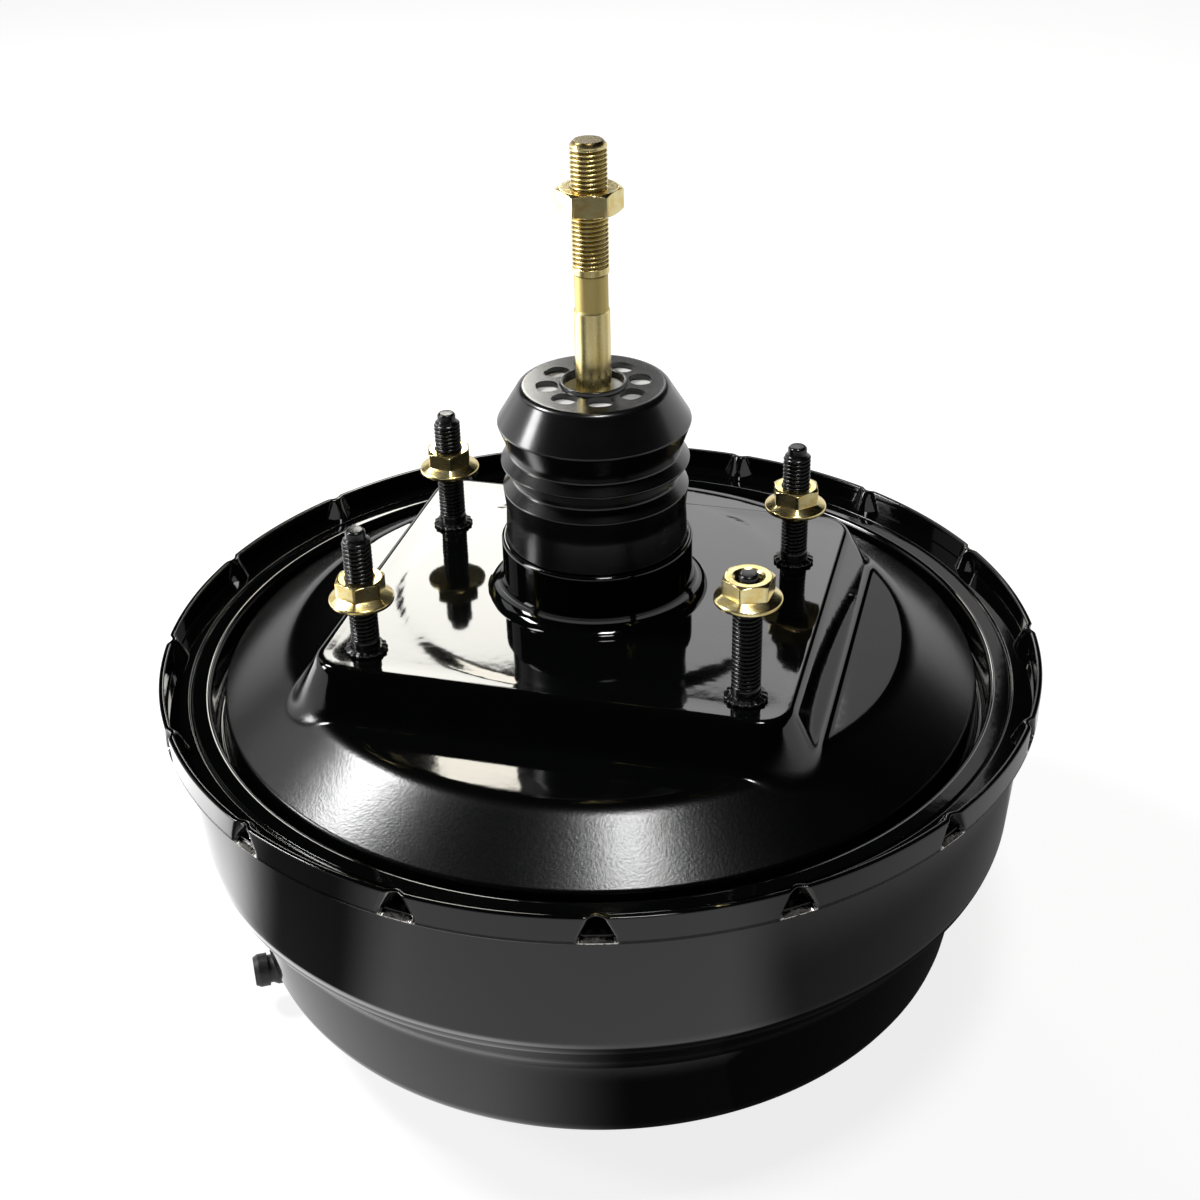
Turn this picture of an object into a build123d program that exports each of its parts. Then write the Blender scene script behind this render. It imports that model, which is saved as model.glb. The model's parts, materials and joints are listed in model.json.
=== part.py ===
from build123d import *
import os
from math import cos, hypot, radians, sin, tan

os.makedirs("parts", exist_ok=True)

# Single-diaphragm vacuum brake booster, millimetres.
# The origin is on the booster's axis, in the face that carries the master cylinder. +Z runs
# along the axis to the brake pedal, and +X along the long side of the firewall pad.

# ---------------------------------------------------------------- driving dimensions
# Pressed shells
shell_wall = 1.6  # sheet of both shells
rim_r = 130.0  # crimped rim, outside
rim_z = 91.0  # rim's top edge above the master cylinder face
band_height = 9.65  # crimped band, from its ledge to the top edge
band_step = 3.6  # drum's wall under the band, inside the rim
drum_lean = 2.4  # drum's wall, from the band to its shoulder
shoulder_z = 42.0
shoulder_step = 9.5  # shoulder, from the drum's wall in to the lower drum
waist_z = 28.0
foot_lean = 5.7  # lower drum's wall, from the shoulder to its foot
foot_bend = 8.0  # bends of the drum's outline, from its foot up
waist_bend = 8.0
shoulder_bend = 10.0
front_ring_drop = 6.0  # front ring, below the master cylinder face
front_dish_margin = 4.2  # flat of that face, outside the plate behind it
front_dish_run = 6.0  # slope between that face and the front ring
pilot_r = 20.0  # hole for the master cylinder's spigot

plateau_rise = 4.7  # flat of the rear shell above the rim's top edge
plateau_bend = 3.0  # rounding of the plateau's edge
cone_run = 20.4  # cone between the plateau and the channel
cone_foot_inset = 18.2  # cone's foot, inside the rim
cone_foot_drop = 12.0  # cone's foot below the plateau
groove_depth = 11.6  # channel that grips the diaphragm's bead, below the flange
groove_width = 3.8
groove_taper = 0.8
fine_groove_inset = 8.5  # fine groove in the flange, inside the rim
fine_groove = 0.8

pad_rise = 12.8  # firewall pad above the plateau
pad_length = 134.0
pad_width = 117.0
pad_centre_y = -2.5
pad_corner = 10.0
pad_draft = 30.0  # degrees
pad_edge = 3.0  # rounding of the pad's rim
neck_r = 27.7
neck_length = 17.3
neck_fillet = 4.8
neck_lip = 1.0  # rounding of the neck's mouth

# Crimps that lock the two shells
crimp_count = 16
crimp_phase = 14.35  # degrees, first crimp from +X
crimp_width = 10.5
crimp_lean = 3.6  # how far a crimp's foot is pushed inwards
crimp_head = 1.4  # solid strip of the band above each crimp
crimp_tip = 1.3  # half width of a crimp's top
crimp_inner = 0.2  # crimp's sheet, thinned: inside the band's bore
crimp_outer = 0.8  # and outside that bore

# Threaded fasteners
stud_r = 4.0  # M8, crest
stud_mean_r = 3.7  # M8, mean of its thread
stud_margin_x = 13.25  # studs inside the pad's short sides
stud_margin_y = 20.5  # studs inside the pad's long sides, before their shift
stud_shift_y = -9.5  # studs' centre from the pad's
stud_length = 38.0  # above the firewall pad
stud_grip = 15.0  # plain stretch that the firewall panel sits on
stud_point = 3.0  # plain point past the thread
stud_point_step = 0.9  # point under the thread
stud_bevel = 0.6
stud_head_r = 8.5
stud_head = 2.8
stud_knurl_r = 4.4
nut_heights = {"front_left": 16.0, "front_right": 30.0, "rear_left": 19.0, "rear_right": 18.0}
nut_height = 8.0
nut_flange_r = 9.0
nut_flange_edge = 0.8  # upright edge of the flange, under its slope
nut_flange_rise = 2.6  # flange's slope ends here on the flats
nut_flats = 12.0
nut_face_step = 0.3  # round faces of a hexagon nut, inside its flats
nut_bevel_slope = 0.8
cylinder_stud_spacing_x = 76.0
cylinder_stud_spacing_y = 54.0
cylinder_stud_length = 26.0
cylinder_stud_grip = 12.0

# Reinforcement plates
rear_plate_t = 3.0
rear_plate_margin = 4.5  # inside the pad's top, all round
rear_plate_corner = 2.0  # plate's corners sharper than the pad's
rear_plate_hole_r = 34.0
front_plate_t = 3.0
front_plate_margin = 1.3  # outside the heads of the master cylinder's studs
front_plate_hole_r = 27.0

# Seals and guides
pilot_seal_t = 4.4
neck_bush_t = 4.0
neck_seal_t = 4.4
neck_seal_web = 1.2  # its lips
neck_seal_rim = 2.0  # its outer wall
boot_plug = 3.6  # boot's cuff inside the neck

# Diaphragm, its plate and the return spring
diaphragm_t = 1.8
rest_gap = 1.0  # diaphragm to rear shell, at rest
outer_bead_gap = 0.6  # bead to the drum's wall
outer_bead_t = 6.3
outer_bead_height = 9.0
fold_outer_inset = 4.9  # fold's outer wall, inside the bead's outer face
fold_inner_inset = 4.6  # fold's start, inside the cone's foot
fold_gap = 3.0  # fold to the channel above it
fold_lean = 2.0  # fold's inner wall
inner_bead_r = 25.5
inner_bead_height = 5.2
plate_t = 1.5
plate_edge_inset = 7.3  # plate's edge, inside the cone's foot
plate_lip = 4.0
plate_lean = 0.6  # lean of that lip
return_spring_r = 29.5
return_wire_r = 1.6
return_turns = 6

# Valve body
tube_r = 19.5  # rear tube, which slides in the neck
tube_bore_r = 16.5
hub_r = 24.0  # nose
hub_length = 21.5
nose_bevel = 1.2
flange_r = 34.0  # flange under the diaphragm plate
flange_t = 4.2
lip_r = 22.0  # lip that holds the diaphragm's inner bead
lip_t = 2.0
disc_r = 12.0  # rubber reaction disc
disc_t = 6.0
disc_depth = 12.0  # reaction disc's pocket in the nose
valve_floor = 11.3  # valve chamber's floor above the flange
chamber_r = 15.5
chamber_length = 17.0
body_seat_r = 12.6
seat_width = 1.0
seat_lip = 1.0
port_r = 1.1  # vacuum ports
port_ring_r = 14.3
port_count = 4

# Plunger, stop key, control valve and filters
valve_travel = 1.5
plunger_r = 5.95
plunger_foot = 1.6
plunger_waist_r = 3.6
plunger_waist = 5.0
plunger_seat_r = 8.6
plunger_seat_t = 8.4
key_t = 2.0
key_width = 12.0
key_corner = 2.0
key_rise = 3.0  # key's underside above the plunger's foot, at rest
poppet_r = 14.6
poppet_bore_r = 6.4
poppet_face = 2.4
poppet_length = 14.0
poppet_t = 1.6
poppet_fold = 2.0  # half the height of the fold above its face
cage_t = 1.0
cage_bore_r = 8.0
cage_sleeve_r = 12.6
cage_sleeve = 5.0
poppet_spring_r = 9.6
poppet_wire_r = 0.5
control_turns = 3
rod_spring_r = 9.0
rod_wire_r = 0.7
rod_turns = 5
filter_bore_r = 8.9
filter_rim = 3.2  # felt above the tube's end
filter_rim_r = 17.6
filter_depth = 9.0
silencer_depth = 8.0

# Output rod
output_rod_r = 6.0
output_head_t = 4.0
output_flare = 2.0  # rod's cone under its head
adjuster_r = 4.0
adjuster_flats = 11.0
adjuster_head = 6.0
adjuster_nose = 5.0
adjuster_shank = 14.0
adjuster_bevel = 1.5
tip_recess = 22.0  # output rod's tip inside the master cylinder face
cap_t = 1.0  # pressed cap that holds the output rod's head
cap_skirt = 10.0

# Input rod
ball_r = 4.0
ball_drop = 4.0  # ball's centre below the valve chamber's floor
rod_r = 5.0  # M10 crest and polished shank
rod_mean_r = 4.7
rod_core_r = 4.0
rod_neck_r = 2.8
rod_neck = 9.0
rod_reach = 115.2  # rod's end above the neck's mouth
rod_thread = 35.0
rod_bevel = 1.0
rod_band = 11.5  # matt stretch below the thread
clevis_thread = 12.5  # thread left free for the pedal's clevis
locknut_flats = 16.0
locknut_t = 8.0
collar_r = 10.2
collar_t = 1.5
collar_depth = 21.5  # spring collar below the tube's end

# Boot
boot_t = 1.8
boot_cuff_r = 26.3
boot_cuff = 14.5
boot_fold_r = 26.7
boot_valley_r = 24.2
boot_waist_r = 23.6
boot_brim_r = 27.3  # widest ring, kept inside the neck's radius so that the panel passes
boot_low_valley = 1.7  # rings' heights above the cuff, from here to the brim
boot_low_fold = 4.1
boot_high_valley = 8.9
boot_high_fold = 14.1
boot_waist = 19.0
boot_brim = 25.2
boot_top_r = 21.0
boot_top_bend = 2.4
boot_height = 46.9  # above the neck's mouth
boot_hole_r = 8.75
boot_lip = 1.0
window_count = 8
window_phase = 22.5
window_ring_r = 12.8
window_width = 5.8
window_length = 6.6

# Check valve
valve_margin = 2.0  # grommet's rim to the foot of the dish
valve_angle = -150.0
grommet_hole_r = 9.0
grommet_bore_r = 7.0
grommet_rim_r = 11.0
grommet_rim = 2.6
grommet_taper = 0.8  # inner rim, smaller than the outer one
valve_barb_r = 7.8
valve_barb = 4.0
valve_barb_taper = 1.2
valve_house_r = 9.5
valve_house = 11.0
valve_wall = 2.0
valve_throat_r = 3.5
nozzle_r = 4.4
nozzle_bead_r = 5.2
nozzle_bead = 3.0
nozzle_bead_pitch = 5.5
nozzle_beads = 3
nozzle_bore_r = 2.8
nozzle_tip = 1.5
nozzle_length = 35.4  # nozzle's end, from the valve's own axis
valve_disc_r = 5.6
valve_disc_t = 1.2
valve_spring_r = 4.0
valve_wire_r = 0.4
valve_turns = 2

# Clearances
seat = 0.05  # pieces that sit face to face
slip = 0.3  # pieces that slide past each other

# ---------------------------------------------------------------- places that follow
drum_top_r = rim_r - band_step
shoulder_r = drum_top_r - drum_lean
waist_r = shoulder_r - shoulder_step
drum_foot_r = waist_r - foot_lean
cone_foot_r = rim_r - cone_foot_inset
plateau_r = cone_foot_r - cone_run
fine_groove_r = rim_r - fine_groove_inset
outer_bead_r = drum_top_r - shell_wall - outer_bead_gap
fold_outer_r = outer_bead_r - fold_outer_inset
fold_inner_r = cone_foot_r - fold_inner_inset
plate_edge_r = cone_foot_r - plate_edge_inset

stud_spacing_x = pad_length - 2 * stud_margin_x
stud_spacing_y = pad_width - 2 * stud_margin_y
stud_centre_y = pad_centre_y + stud_shift_y
cylinder_stud_ring_r = hypot(cylinder_stud_spacing_x, cylinder_stud_spacing_y) / 2
front_plate_r = cylinder_stud_ring_r + stud_head_r + front_plate_margin
front_dish_r = front_plate_r + front_dish_margin
valve_ring_r = front_dish_r + front_dish_run + grommet_rim_r + valve_margin

plateau_z = rim_z + plateau_rise
pad_z = plateau_z + pad_rise
neck_z = pad_z + neck_length
ledge_z = rim_z - band_height
band_bore_r = rim_r - shell_wall
flange_edge_r = band_bore_r - seat
flange_z = ledge_z + shell_wall + seat + shell_wall
groove_z = flange_z - groove_depth
neck_bore_r = neck_r - shell_wall
pad_inside_z = pad_z - shell_wall
rear_plates = shell_wall + seat + rear_plate_t
front_plates = shell_wall + seat + front_plate_t

cone_slope = cone_foot_drop / (cone_foot_r - plateau_r)
diaphragm_gap = shell_wall + rest_gap
plate_gap = diaphragm_gap + diaphragm_t + seat
flange_back_z = plateau_z - plate_gap - plate_t - seat
flange_front_z = flange_back_z - flange_t
nose_z = flange_front_z - hub_length
pocket_z = nose_z + disc_depth
floor_z = flange_back_z + valve_floor
bead_back_z = plateau_z - plate_gap + seat + inner_bead_height
plunger_z = pocket_z + valve_travel + 2 * seat
boot_top_z = neck_z + boot_height
tube_end_z = boot_top_z - boot_t - seat - filter_rim
poppet_z = floor_z + seat_lip + seat
cage_z = poppet_z + poppet_length + seat
ball_z = floor_z - ball_drop
collar_z = tube_end_z - collar_depth
rod_end_z = neck_z + rod_reach
output_head_z = pocket_z - disc_t - output_head_t - 2 * seat

stud_places = {
    "front_left": (-stud_spacing_x / 2, stud_centre_y - stud_spacing_y / 2),
    "front_right": (stud_spacing_x / 2, stud_centre_y - stud_spacing_y / 2),
    "rear_left": (-stud_spacing_x / 2, stud_centre_y + stud_spacing_y / 2),
    "rear_right": (stud_spacing_x / 2, stud_centre_y + stud_spacing_y / 2),
}

valve_way = Vector(cos(radians(valve_angle)), sin(radians(valve_angle)), 0)
valve_centre = valve_way * valve_ring_r
valve_plane = Plane(valve_centre, x_dir=valve_way, z_dir=valve_way.rotate(Axis.Z, -90))
valve_axis = Axis(valve_centre, (0, 0, 1))


def under_plateau(gap):
    """The plateau's edge on the surface that runs a gap below the rear shell."""
    return plateau_r - gap * (hypot(1, cone_slope) - 1) / cone_slope, plateau_z - gap


def under_cone(gap, r):
    """The point at a radius on the surface that runs a gap below the rear shell's cone."""
    return r, plateau_z - cone_slope * (r - plateau_r) - gap * hypot(1, cone_slope)


# ---------------------------------------------------------------- shared shapes
def parallel(points, radii, gap):
    """An outline's points and bend radii again, gap to the right of its direction of travel.

    A bend of 0 is a sharp corner, and stays one.
    """
    moved, bends = [], []
    for i, point in enumerate(points):
        before = points[max(i - 1, 0)]
        after = points[min(i + 1, len(points) - 1)]
        into = (point[0] - before[0], point[1] - before[1]) if i else None
        out = (after[0] - point[0], after[1] - point[1]) if i < len(points) - 1 else into
        into = into or out
        a = (into[1] / hypot(*into), -into[0] / hypot(*into))
        b = (out[1] / hypot(*out), -out[0] / hypot(*out))
        share = gap / (1 + a[0] * b[0] + a[1] * b[1])
        moved.append((point[0] + share * (a[0] + b[0]), point[1] + share * (a[1] + b[1])))
        if 0 < i < len(points) - 1:
            turns_left = a[0] * b[1] - a[1] * b[0] > 0
            bend = radii[i - 1]
            bends.append(bend + (gap if turns_left else -gap) if bend else 0)
    return moved, bends


def turn_sheet(points, radii, wall):
    """A bent sheet turned round the axis: the outline, and the same one wall to its right."""
    inner, inner_radii = parallel(points, radii, wall)
    with BuildSketch(Plane.XZ) as section:
        with BuildLine():
            FilletPolyline(*points, radius=radii)
            Line(points[-1], inner[-1])
            FilletPolyline(*inner, radius=inner_radii)
            Line(inner[0], points[0])
        make_face()
    revolve(section.sketch, axis=Axis.Z)


def turn_blank(points, radii, bottom):
    """All that lies between an outline and a level below it, turned round the axis."""
    with BuildSketch(Plane.XZ) as section:
        with BuildLine():
            FilletPolyline(*points, radius=radii)
            Polyline(points[-1], (points[-1][0], bottom), (points[0][0], bottom), points[0])
        make_face()
    revolve(section.sketch, axis=Axis.Z)


def turn(*points, plane=Plane.XZ, axis=Axis.Z, mode=Mode.ADD):
    """A closed section of straight runs, given as radius and height, turned round an axis."""
    with BuildSketch(plane) as section:
        with BuildLine():
            Polyline(*points, close=True)
        make_face()
    revolve(section.sketch, axis=axis, mode=mode)


def ring(inner_r, outer_r, low, high, mode=Mode.ADD):
    """A plain ring round the axis."""
    turn((inner_r, low), (outer_r, low), (outer_r, high), (inner_r, high), mode=mode)


def coil(mean_r, wire_r, low, high, turns, centre=(0, 0, 0), sides=4):
    """A compression spring that stands between two levels, its wire drawn with a few flats."""
    rise = high - low - 2 * wire_r
    start = Vector(centre) + Vector(0, 0, low + wire_r)
    with BuildLine() as wire:
        Helix(pitch=rise / turns, height=rise, radius=mean_r, center=start)
    with BuildSketch(Plane(origin=wire.line @ 0, z_dir=wire.line % 0)) as section:
        RegularPolygon(wire_r, sides)
    sweep(section.sketch, path=wire.line, is_frenet=True)


def threaded_stud(up, length, grip, plates):
    """A headed stud that stands out of its face at the origin, with up as 1 or -1."""
    head_low = -up * (plates + seat + stud_head)
    head_high = -up * (plates + seat)
    point_r = stud_mean_r - stud_point_step
    with BuildPart() as stud:
        turn(
            (0, head_low),
            (stud_head_r, head_low),
            (stud_head_r, head_high),
            (stud_knurl_r, head_high),
            (stud_knurl_r, 0),
            (stud_r, 0),
            (stud_r, up * grip),
            (stud_mean_r, up * (grip + stud_r - stud_mean_r)),
            (stud_mean_r, up * (length - stud_point)),
            (point_r, up * (length - stud_point + stud_point_step)),
            (point_r, up * (length - stud_bevel)),
            (point_r - stud_bevel, up * length),
            (0, up * length),
        )
    return stud.part


def hex_nut(flats, height, bore_r, low_bevel=True):
    """A hexagon nut that stands on the origin, its corners turned off above and maybe below."""
    corner_r = flats / 2 / cos(radians(30)) + seat
    bevel = (corner_r - flats / 2) * nut_bevel_slope
    face_r = flats / 2 - nut_face_step
    foot = [(face_r, 0), (corner_r, bevel)] if low_bevel else [(corner_r, 0)]
    with BuildPart() as turned:
        turn((0, 0), *foot, (corner_r, height - bevel), (face_r, height), (0, height))
    with BuildPart() as nut:
        with BuildSketch(Plane.XY):
            RegularPolygon(flats / 2, 6, major_radius=False)
        extrude(amount=height)
        add(turned.part, mode=Mode.INTERSECT)
        Hole(bore_r)
    return nut.part


# ---------------------------------------------------------------- front shell
front_outline = [
    (pilot_r, 0),
    (front_dish_r, 0),
    (front_dish_r + front_dish_run, -front_ring_drop),
    (drum_foot_r, -front_ring_drop),
    (waist_r, waist_z),
    (shoulder_r, shoulder_z),
    (drum_top_r, ledge_z),
    (rim_r, ledge_z),
    (rim_r, rim_z),
]
front_bends = [0, 0, foot_bend, waist_bend, shoulder_bend, 0, 0]


def crimp_wedge(inner_r, trim):
    """The triangle that a crimp takes out of the band, as a block from a radius outwards."""
    with BuildPart() as wedge:
        with BuildSketch(Plane((inner_r, 0, 0), x_dir=(0, 1, 0), z_dir=(1, 0, 0))):
            with BuildLine():
                Polyline(
                    (-crimp_width / 2 + trim, flange_z + trim),
                    (crimp_width / 2 - trim, flange_z + trim),
                    (crimp_tip - trim, rim_z - crimp_head + trim),
                    (trim - crimp_tip, rim_z - crimp_head + trim),
                    close=True,
                )
            make_face()
        extrude(amount=rim_r + shell_wall - inner_r)
    return wedge.part


with BuildPart() as crimp_tongue:
    with BuildSketch(Plane.XZ):
        with BuildLine():
            Polyline(
                (band_bore_r - crimp_inner, rim_z - crimp_head / 2),
                (band_bore_r + crimp_outer, rim_z - crimp_head / 2),
                (band_bore_r + crimp_outer - crimp_lean, flange_z),
                (band_bore_r - crimp_inner - crimp_lean, flange_z),
                close=True,
            )
        make_face()
    extrude(amount=crimp_width, both=True)
    add(crimp_wedge(band_bore_r - 2 * crimp_lean, slip), mode=Mode.INTERSECT)

with BuildPart() as front_shell:
    turn_sheet(front_outline, front_bends, -shell_wall)
    with PolarLocations(0, crimp_count, start_angle=crimp_phase):
        add(crimp_wedge(band_bore_r - slip, 0), mode=Mode.SUBTRACT)
    with PolarLocations(0, crimp_count, start_angle=crimp_phase):
        add(crimp_tongue.part)
    with GridLocations(cylinder_stud_spacing_x, cylinder_stud_spacing_y, 2, 2):
        Cylinder(stud_knurl_r + seat, 4 * shell_wall, mode=Mode.SUBTRACT)
    with Locations(valve_centre - Vector(0, 0, front_ring_drop)):
        Cylinder(grommet_hole_r, 4 * shell_wall, mode=Mode.SUBTRACT)
front_shell.part.label = "front_shell"
export_step(front_shell.part, "parts/front_shell.step")

with BuildPart() as front_plate:
    ring(front_plate_hole_r, front_plate_r, shell_wall + seat, front_plates)
    with GridLocations(cylinder_stud_spacing_x, cylinder_stud_spacing_y, 2, 2):
        Cylinder(stud_knurl_r + seat, 4 * front_plates, mode=Mode.SUBTRACT)
front_plate.part.label = "front_reinforcement_plate"
export_step(front_plate.part, "parts/front_reinforcement_plate.step")

with BuildPart() as pilot_seal:
    ring(pilot_r + slip, front_plate_hole_r - seat, shell_wall + seat, shell_wall + pilot_seal_t)
pilot_seal.part.label = "master_cylinder_seal"
export_step(pilot_seal.part, "parts/master_cylinder_seal.step")

with BuildPart() as cylinder_studs:
    with GridLocations(cylinder_stud_spacing_x, cylinder_stud_spacing_y, 2, 2):
        add(threaded_stud(-1, cylinder_stud_length, cylinder_stud_grip, front_plates))
cylinder_studs.part.label = "master_cylinder_studs"
export_step(cylinder_studs.part, "parts/master_cylinder_studs.step")

# ---------------------------------------------------------------- rear shell
rear_outline = [
    (0, plateau_z),
    (plateau_r, plateau_z),
    (cone_foot_r, plateau_z - cone_foot_drop),
    (cone_foot_r + groove_taper, groove_z),
    (cone_foot_r + groove_width - groove_taper, groove_z),
    (cone_foot_r + groove_width, flange_z),
    (flange_edge_r, flange_z),
]
rear_bends = [plateau_bend, 0, 0, 0, 0]
pad_depth = pad_rise + cone_foot_drop  # the pad's skirt ends below the cone's foot
pad_inset = shell_wall * (1 / cos(radians(pad_draft)) - tan(radians(pad_draft)))

with BuildPart() as rear_shell_core:
    core_outline, core_bends = parallel(rear_outline, rear_bends, shell_wall)
    turn_blank(core_outline, core_bends, groove_z - 6 * shell_wall)
    with BuildSketch(Plane.XY.offset(pad_inside_z)):
        with Locations((0, pad_centre_y)):
            RectangleRounded(
                pad_length - 2 * pad_inset, pad_width - 2 * pad_inset, pad_corner - pad_inset
            )
    extrude(amount=-pad_depth, taper=-pad_draft)
    with Locations((0, 0, plateau_z)):
        Cylinder(neck_bore_r, 2 * (neck_z - plateau_z))
    bore_foot = rear_shell_core.edges().filter_by(GeomType.CIRCLE)
    fillet(
        bore_foot.filter_by(lambda e: abs(e.center().Z - pad_inside_z) < seat / 2),
        neck_fillet + shell_wall,
    )

with BuildPart() as rear_shell:
    turn_blank(rear_outline, rear_bends, groove_z - 3 * shell_wall)
    with BuildSketch(Plane.XY.offset(pad_z)):
        with Locations((0, pad_centre_y)):
            RectangleRounded(pad_length, pad_width, pad_corner)
    extrude(amount=-pad_depth, taper=-pad_draft)
    fillet(rear_shell.edges().group_by(Axis.Z)[-1], pad_edge)
    with BuildSketch(Plane.XY.offset(pad_z)):
        Circle(neck_r)
    extrude(amount=neck_length)
    neck_circles = rear_shell.edges().filter_by(GeomType.CIRCLE)
    fillet(neck_circles.filter_by(lambda e: abs(e.center().Z - pad_z) < seat), neck_fillet)
    fillet(rear_shell.edges().group_by(Axis.Z)[-1], neck_lip)
    add(rear_shell_core.part, mode=Mode.SUBTRACT)
    ring(
        fine_groove_r - fine_groove / 2,
        fine_groove_r + fine_groove / 2,
        flange_z - fine_groove,
        flange_z + fine_groove,
        mode=Mode.SUBTRACT,
    )
    with Locations(*[(x, y, pad_z) for x, y in stud_places.values()]):
        Cylinder(stud_knurl_r + seat, 4 * shell_wall, mode=Mode.SUBTRACT)
rear_shell.part.label = "rear_shell"
export_step(rear_shell.part, "parts/rear_shell.step")

with BuildPart() as rear_plate:
    with BuildSketch(Plane.XY.offset(pad_z - rear_plates)):
        with Locations((0, pad_centre_y)):
            RectangleRounded(
                pad_length - 2 * rear_plate_margin,
                pad_width - 2 * rear_plate_margin,
                pad_corner - rear_plate_corner,
            )
        Circle(rear_plate_hole_r, mode=Mode.SUBTRACT)
        with Locations(*stud_places.values()):
            Circle(stud_knurl_r + seat, mode=Mode.SUBTRACT)
    extrude(amount=rear_plate_t)
rear_plate.part.label = "rear_reinforcement_plate"
export_step(rear_plate.part, "parts/rear_reinforcement_plate.step")

with BuildPart() as firewall_studs:
    with Locations(*[(x, y, pad_z) for x, y in stud_places.values()]):
        add(threaded_stud(1, stud_length, stud_grip, rear_plates))
firewall_studs.part.label = "firewall_studs"
export_step(firewall_studs.part, "parts/firewall_studs.step")

with BuildPart() as flange_nut:
    add(hex_nut(nut_flats, nut_height, stud_mean_r + seat, low_bevel=False))
    turn(
        (stud_mean_r + seat, 0),
        (nut_flange_r, 0),
        (nut_flange_r, nut_flange_edge),
        (nut_flats / 2, nut_flange_rise),
        (stud_mean_r + seat, nut_flange_rise),
    )
with BuildPart() as firewall_nuts:
    with Locations(*[(*stud_places[name], pad_z + nut_heights[name]) for name in nut_heights]):
        add(flange_nut.part)
firewall_nuts.part.label = "firewall_nuts"
export_step(firewall_nuts.part, "parts/firewall_nuts.step")

# ---------------------------------------------------------------- seals and guide in the neck
boot_plug_z = neck_z - boot_plug
neck_seal_z = boot_plug_z - seat - neck_seal_t
neck_bush_z = neck_seal_z - seat - neck_bush_t

with BuildPart() as neck_bush:
    ring(tube_r + slip, neck_bore_r - seat, neck_bush_z, neck_bush_z + neck_bush_t)
neck_bush.part.label = "neck_guide_bush"
export_step(neck_bush.part, "parts/neck_guide_bush.step")

with BuildPart() as neck_seal:
    turn(
        (neck_bore_r - seat, neck_seal_z),
        (neck_bore_r - seat, neck_seal_z + neck_seal_t),
        (tube_r + slip, neck_seal_z + neck_seal_t),
        (tube_r + slip, neck_seal_z + neck_seal_t - neck_seal_web),
        (neck_bore_r - neck_seal_rim, neck_seal_z + neck_seal_t - neck_seal_web),
        (neck_bore_r - neck_seal_rim, neck_seal_z + neck_seal_web),
        (tube_r + slip + neck_seal_web, neck_seal_z + neck_seal_web),
        (tube_r + slip, neck_seal_z),
    )
neck_seal.part.label = "neck_seal"
export_step(neck_seal.part, "parts/neck_seal.step")

# ---------------------------------------------------------------- boot
cuff_z = neck_z + boot_cuff
boot_outline = [
    (boot_cuff_r, neck_z + seat),
    (boot_cuff_r, cuff_z),
    (boot_valley_r, cuff_z + boot_low_valley),
    (boot_fold_r, cuff_z + boot_low_fold),
    (boot_valley_r, cuff_z + boot_high_valley),
    (boot_fold_r, cuff_z + boot_high_fold),
    (boot_waist_r, cuff_z + boot_waist),
    (boot_brim_r, cuff_z + boot_brim),
    (boot_top_r, boot_top_z),
    (boot_hole_r, boot_top_z),
]
boot_bends = [0] * (len(boot_outline) - 3) + [boot_top_bend]

with BuildPart() as boot:
    turn_sheet(boot_outline, boot_bends, -boot_t)
    ring(boot_cuff_r - boot_t, neck_bore_r - seat, boot_plug_z, neck_z + boot_t)
    ring(boot_hole_r, boot_hole_r + boot_lip, boot_top_z - boot_t, boot_top_z + boot_lip)
    with BuildSketch(Plane.XY.offset(boot_top_z)):
        with PolarLocations(window_ring_r, window_count, start_angle=window_phase):
            SlotOverall(window_length, window_width)
    extrude(amount=-2 * boot_t, mode=Mode.SUBTRACT)
boot.part.label = "boot"
export_step(boot.part, "parts/boot.step")

# ---------------------------------------------------------------- diaphragm and its plate
diaphragm_outline = [
    (tube_r + slip, plateau_z - diaphragm_gap),
    under_plateau(diaphragm_gap),
    under_cone(diaphragm_gap, fold_inner_r),
    (fold_inner_r + fold_lean, groove_z - shell_wall - fold_gap),
    (fold_outer_r, groove_z - shell_wall - fold_gap),
    (fold_outer_r, flange_z - shell_wall - seat - outer_bead_height),
]
bead_top_z = flange_z - shell_wall - 2 * seat

with BuildPart() as diaphragm:
    turn_sheet(diaphragm_outline, [0] * (len(diaphragm_outline) - 2), diaphragm_t)
    ring(outer_bead_r - outer_bead_t, outer_bead_r, bead_top_z - outer_bead_height, bead_top_z)
    ring(tube_r + slip, inner_bead_r, plateau_z - plate_gap + seat, bead_back_z)
diaphragm.part.label = "diaphragm"
export_step(diaphragm.part, "parts/diaphragm.step")

plate_edge = under_cone(plate_gap, plate_edge_r)
plate_outline = [
    (tube_r + seat, plateau_z - plate_gap),
    under_plateau(plate_gap),
    plate_edge,
    (plate_edge_r + plate_lean, plate_edge[1] - plate_lip),
]

with BuildPart() as diaphragm_plate:
    turn_sheet(plate_outline, [0] * (len(plate_outline) - 2), plate_t)
diaphragm_plate.part.label = "diaphragm_plate"
export_step(diaphragm_plate.part, "parts/diaphragm_plate.step")

with BuildPart() as return_spring:
    coil(
        return_spring_r,
        return_wire_r,
        front_plates + seat,
        flange_front_z - seat,
        return_turns,
        sides=6,
    )
return_spring.part.label = "return_spring"
export_step(return_spring.part, "parts/return_spring.step")

# ---------------------------------------------------------------- valve body
seat_bore_r = plunger_seat_r + 2 * slip
plunger_seat_z = floor_z + seat_lip - plunger_seat_t
seat_bore_z = plunger_seat_z - valve_travel - 2 * seat
chamber_z = floor_z + chamber_length
key_z = plunger_z + key_rise

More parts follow.
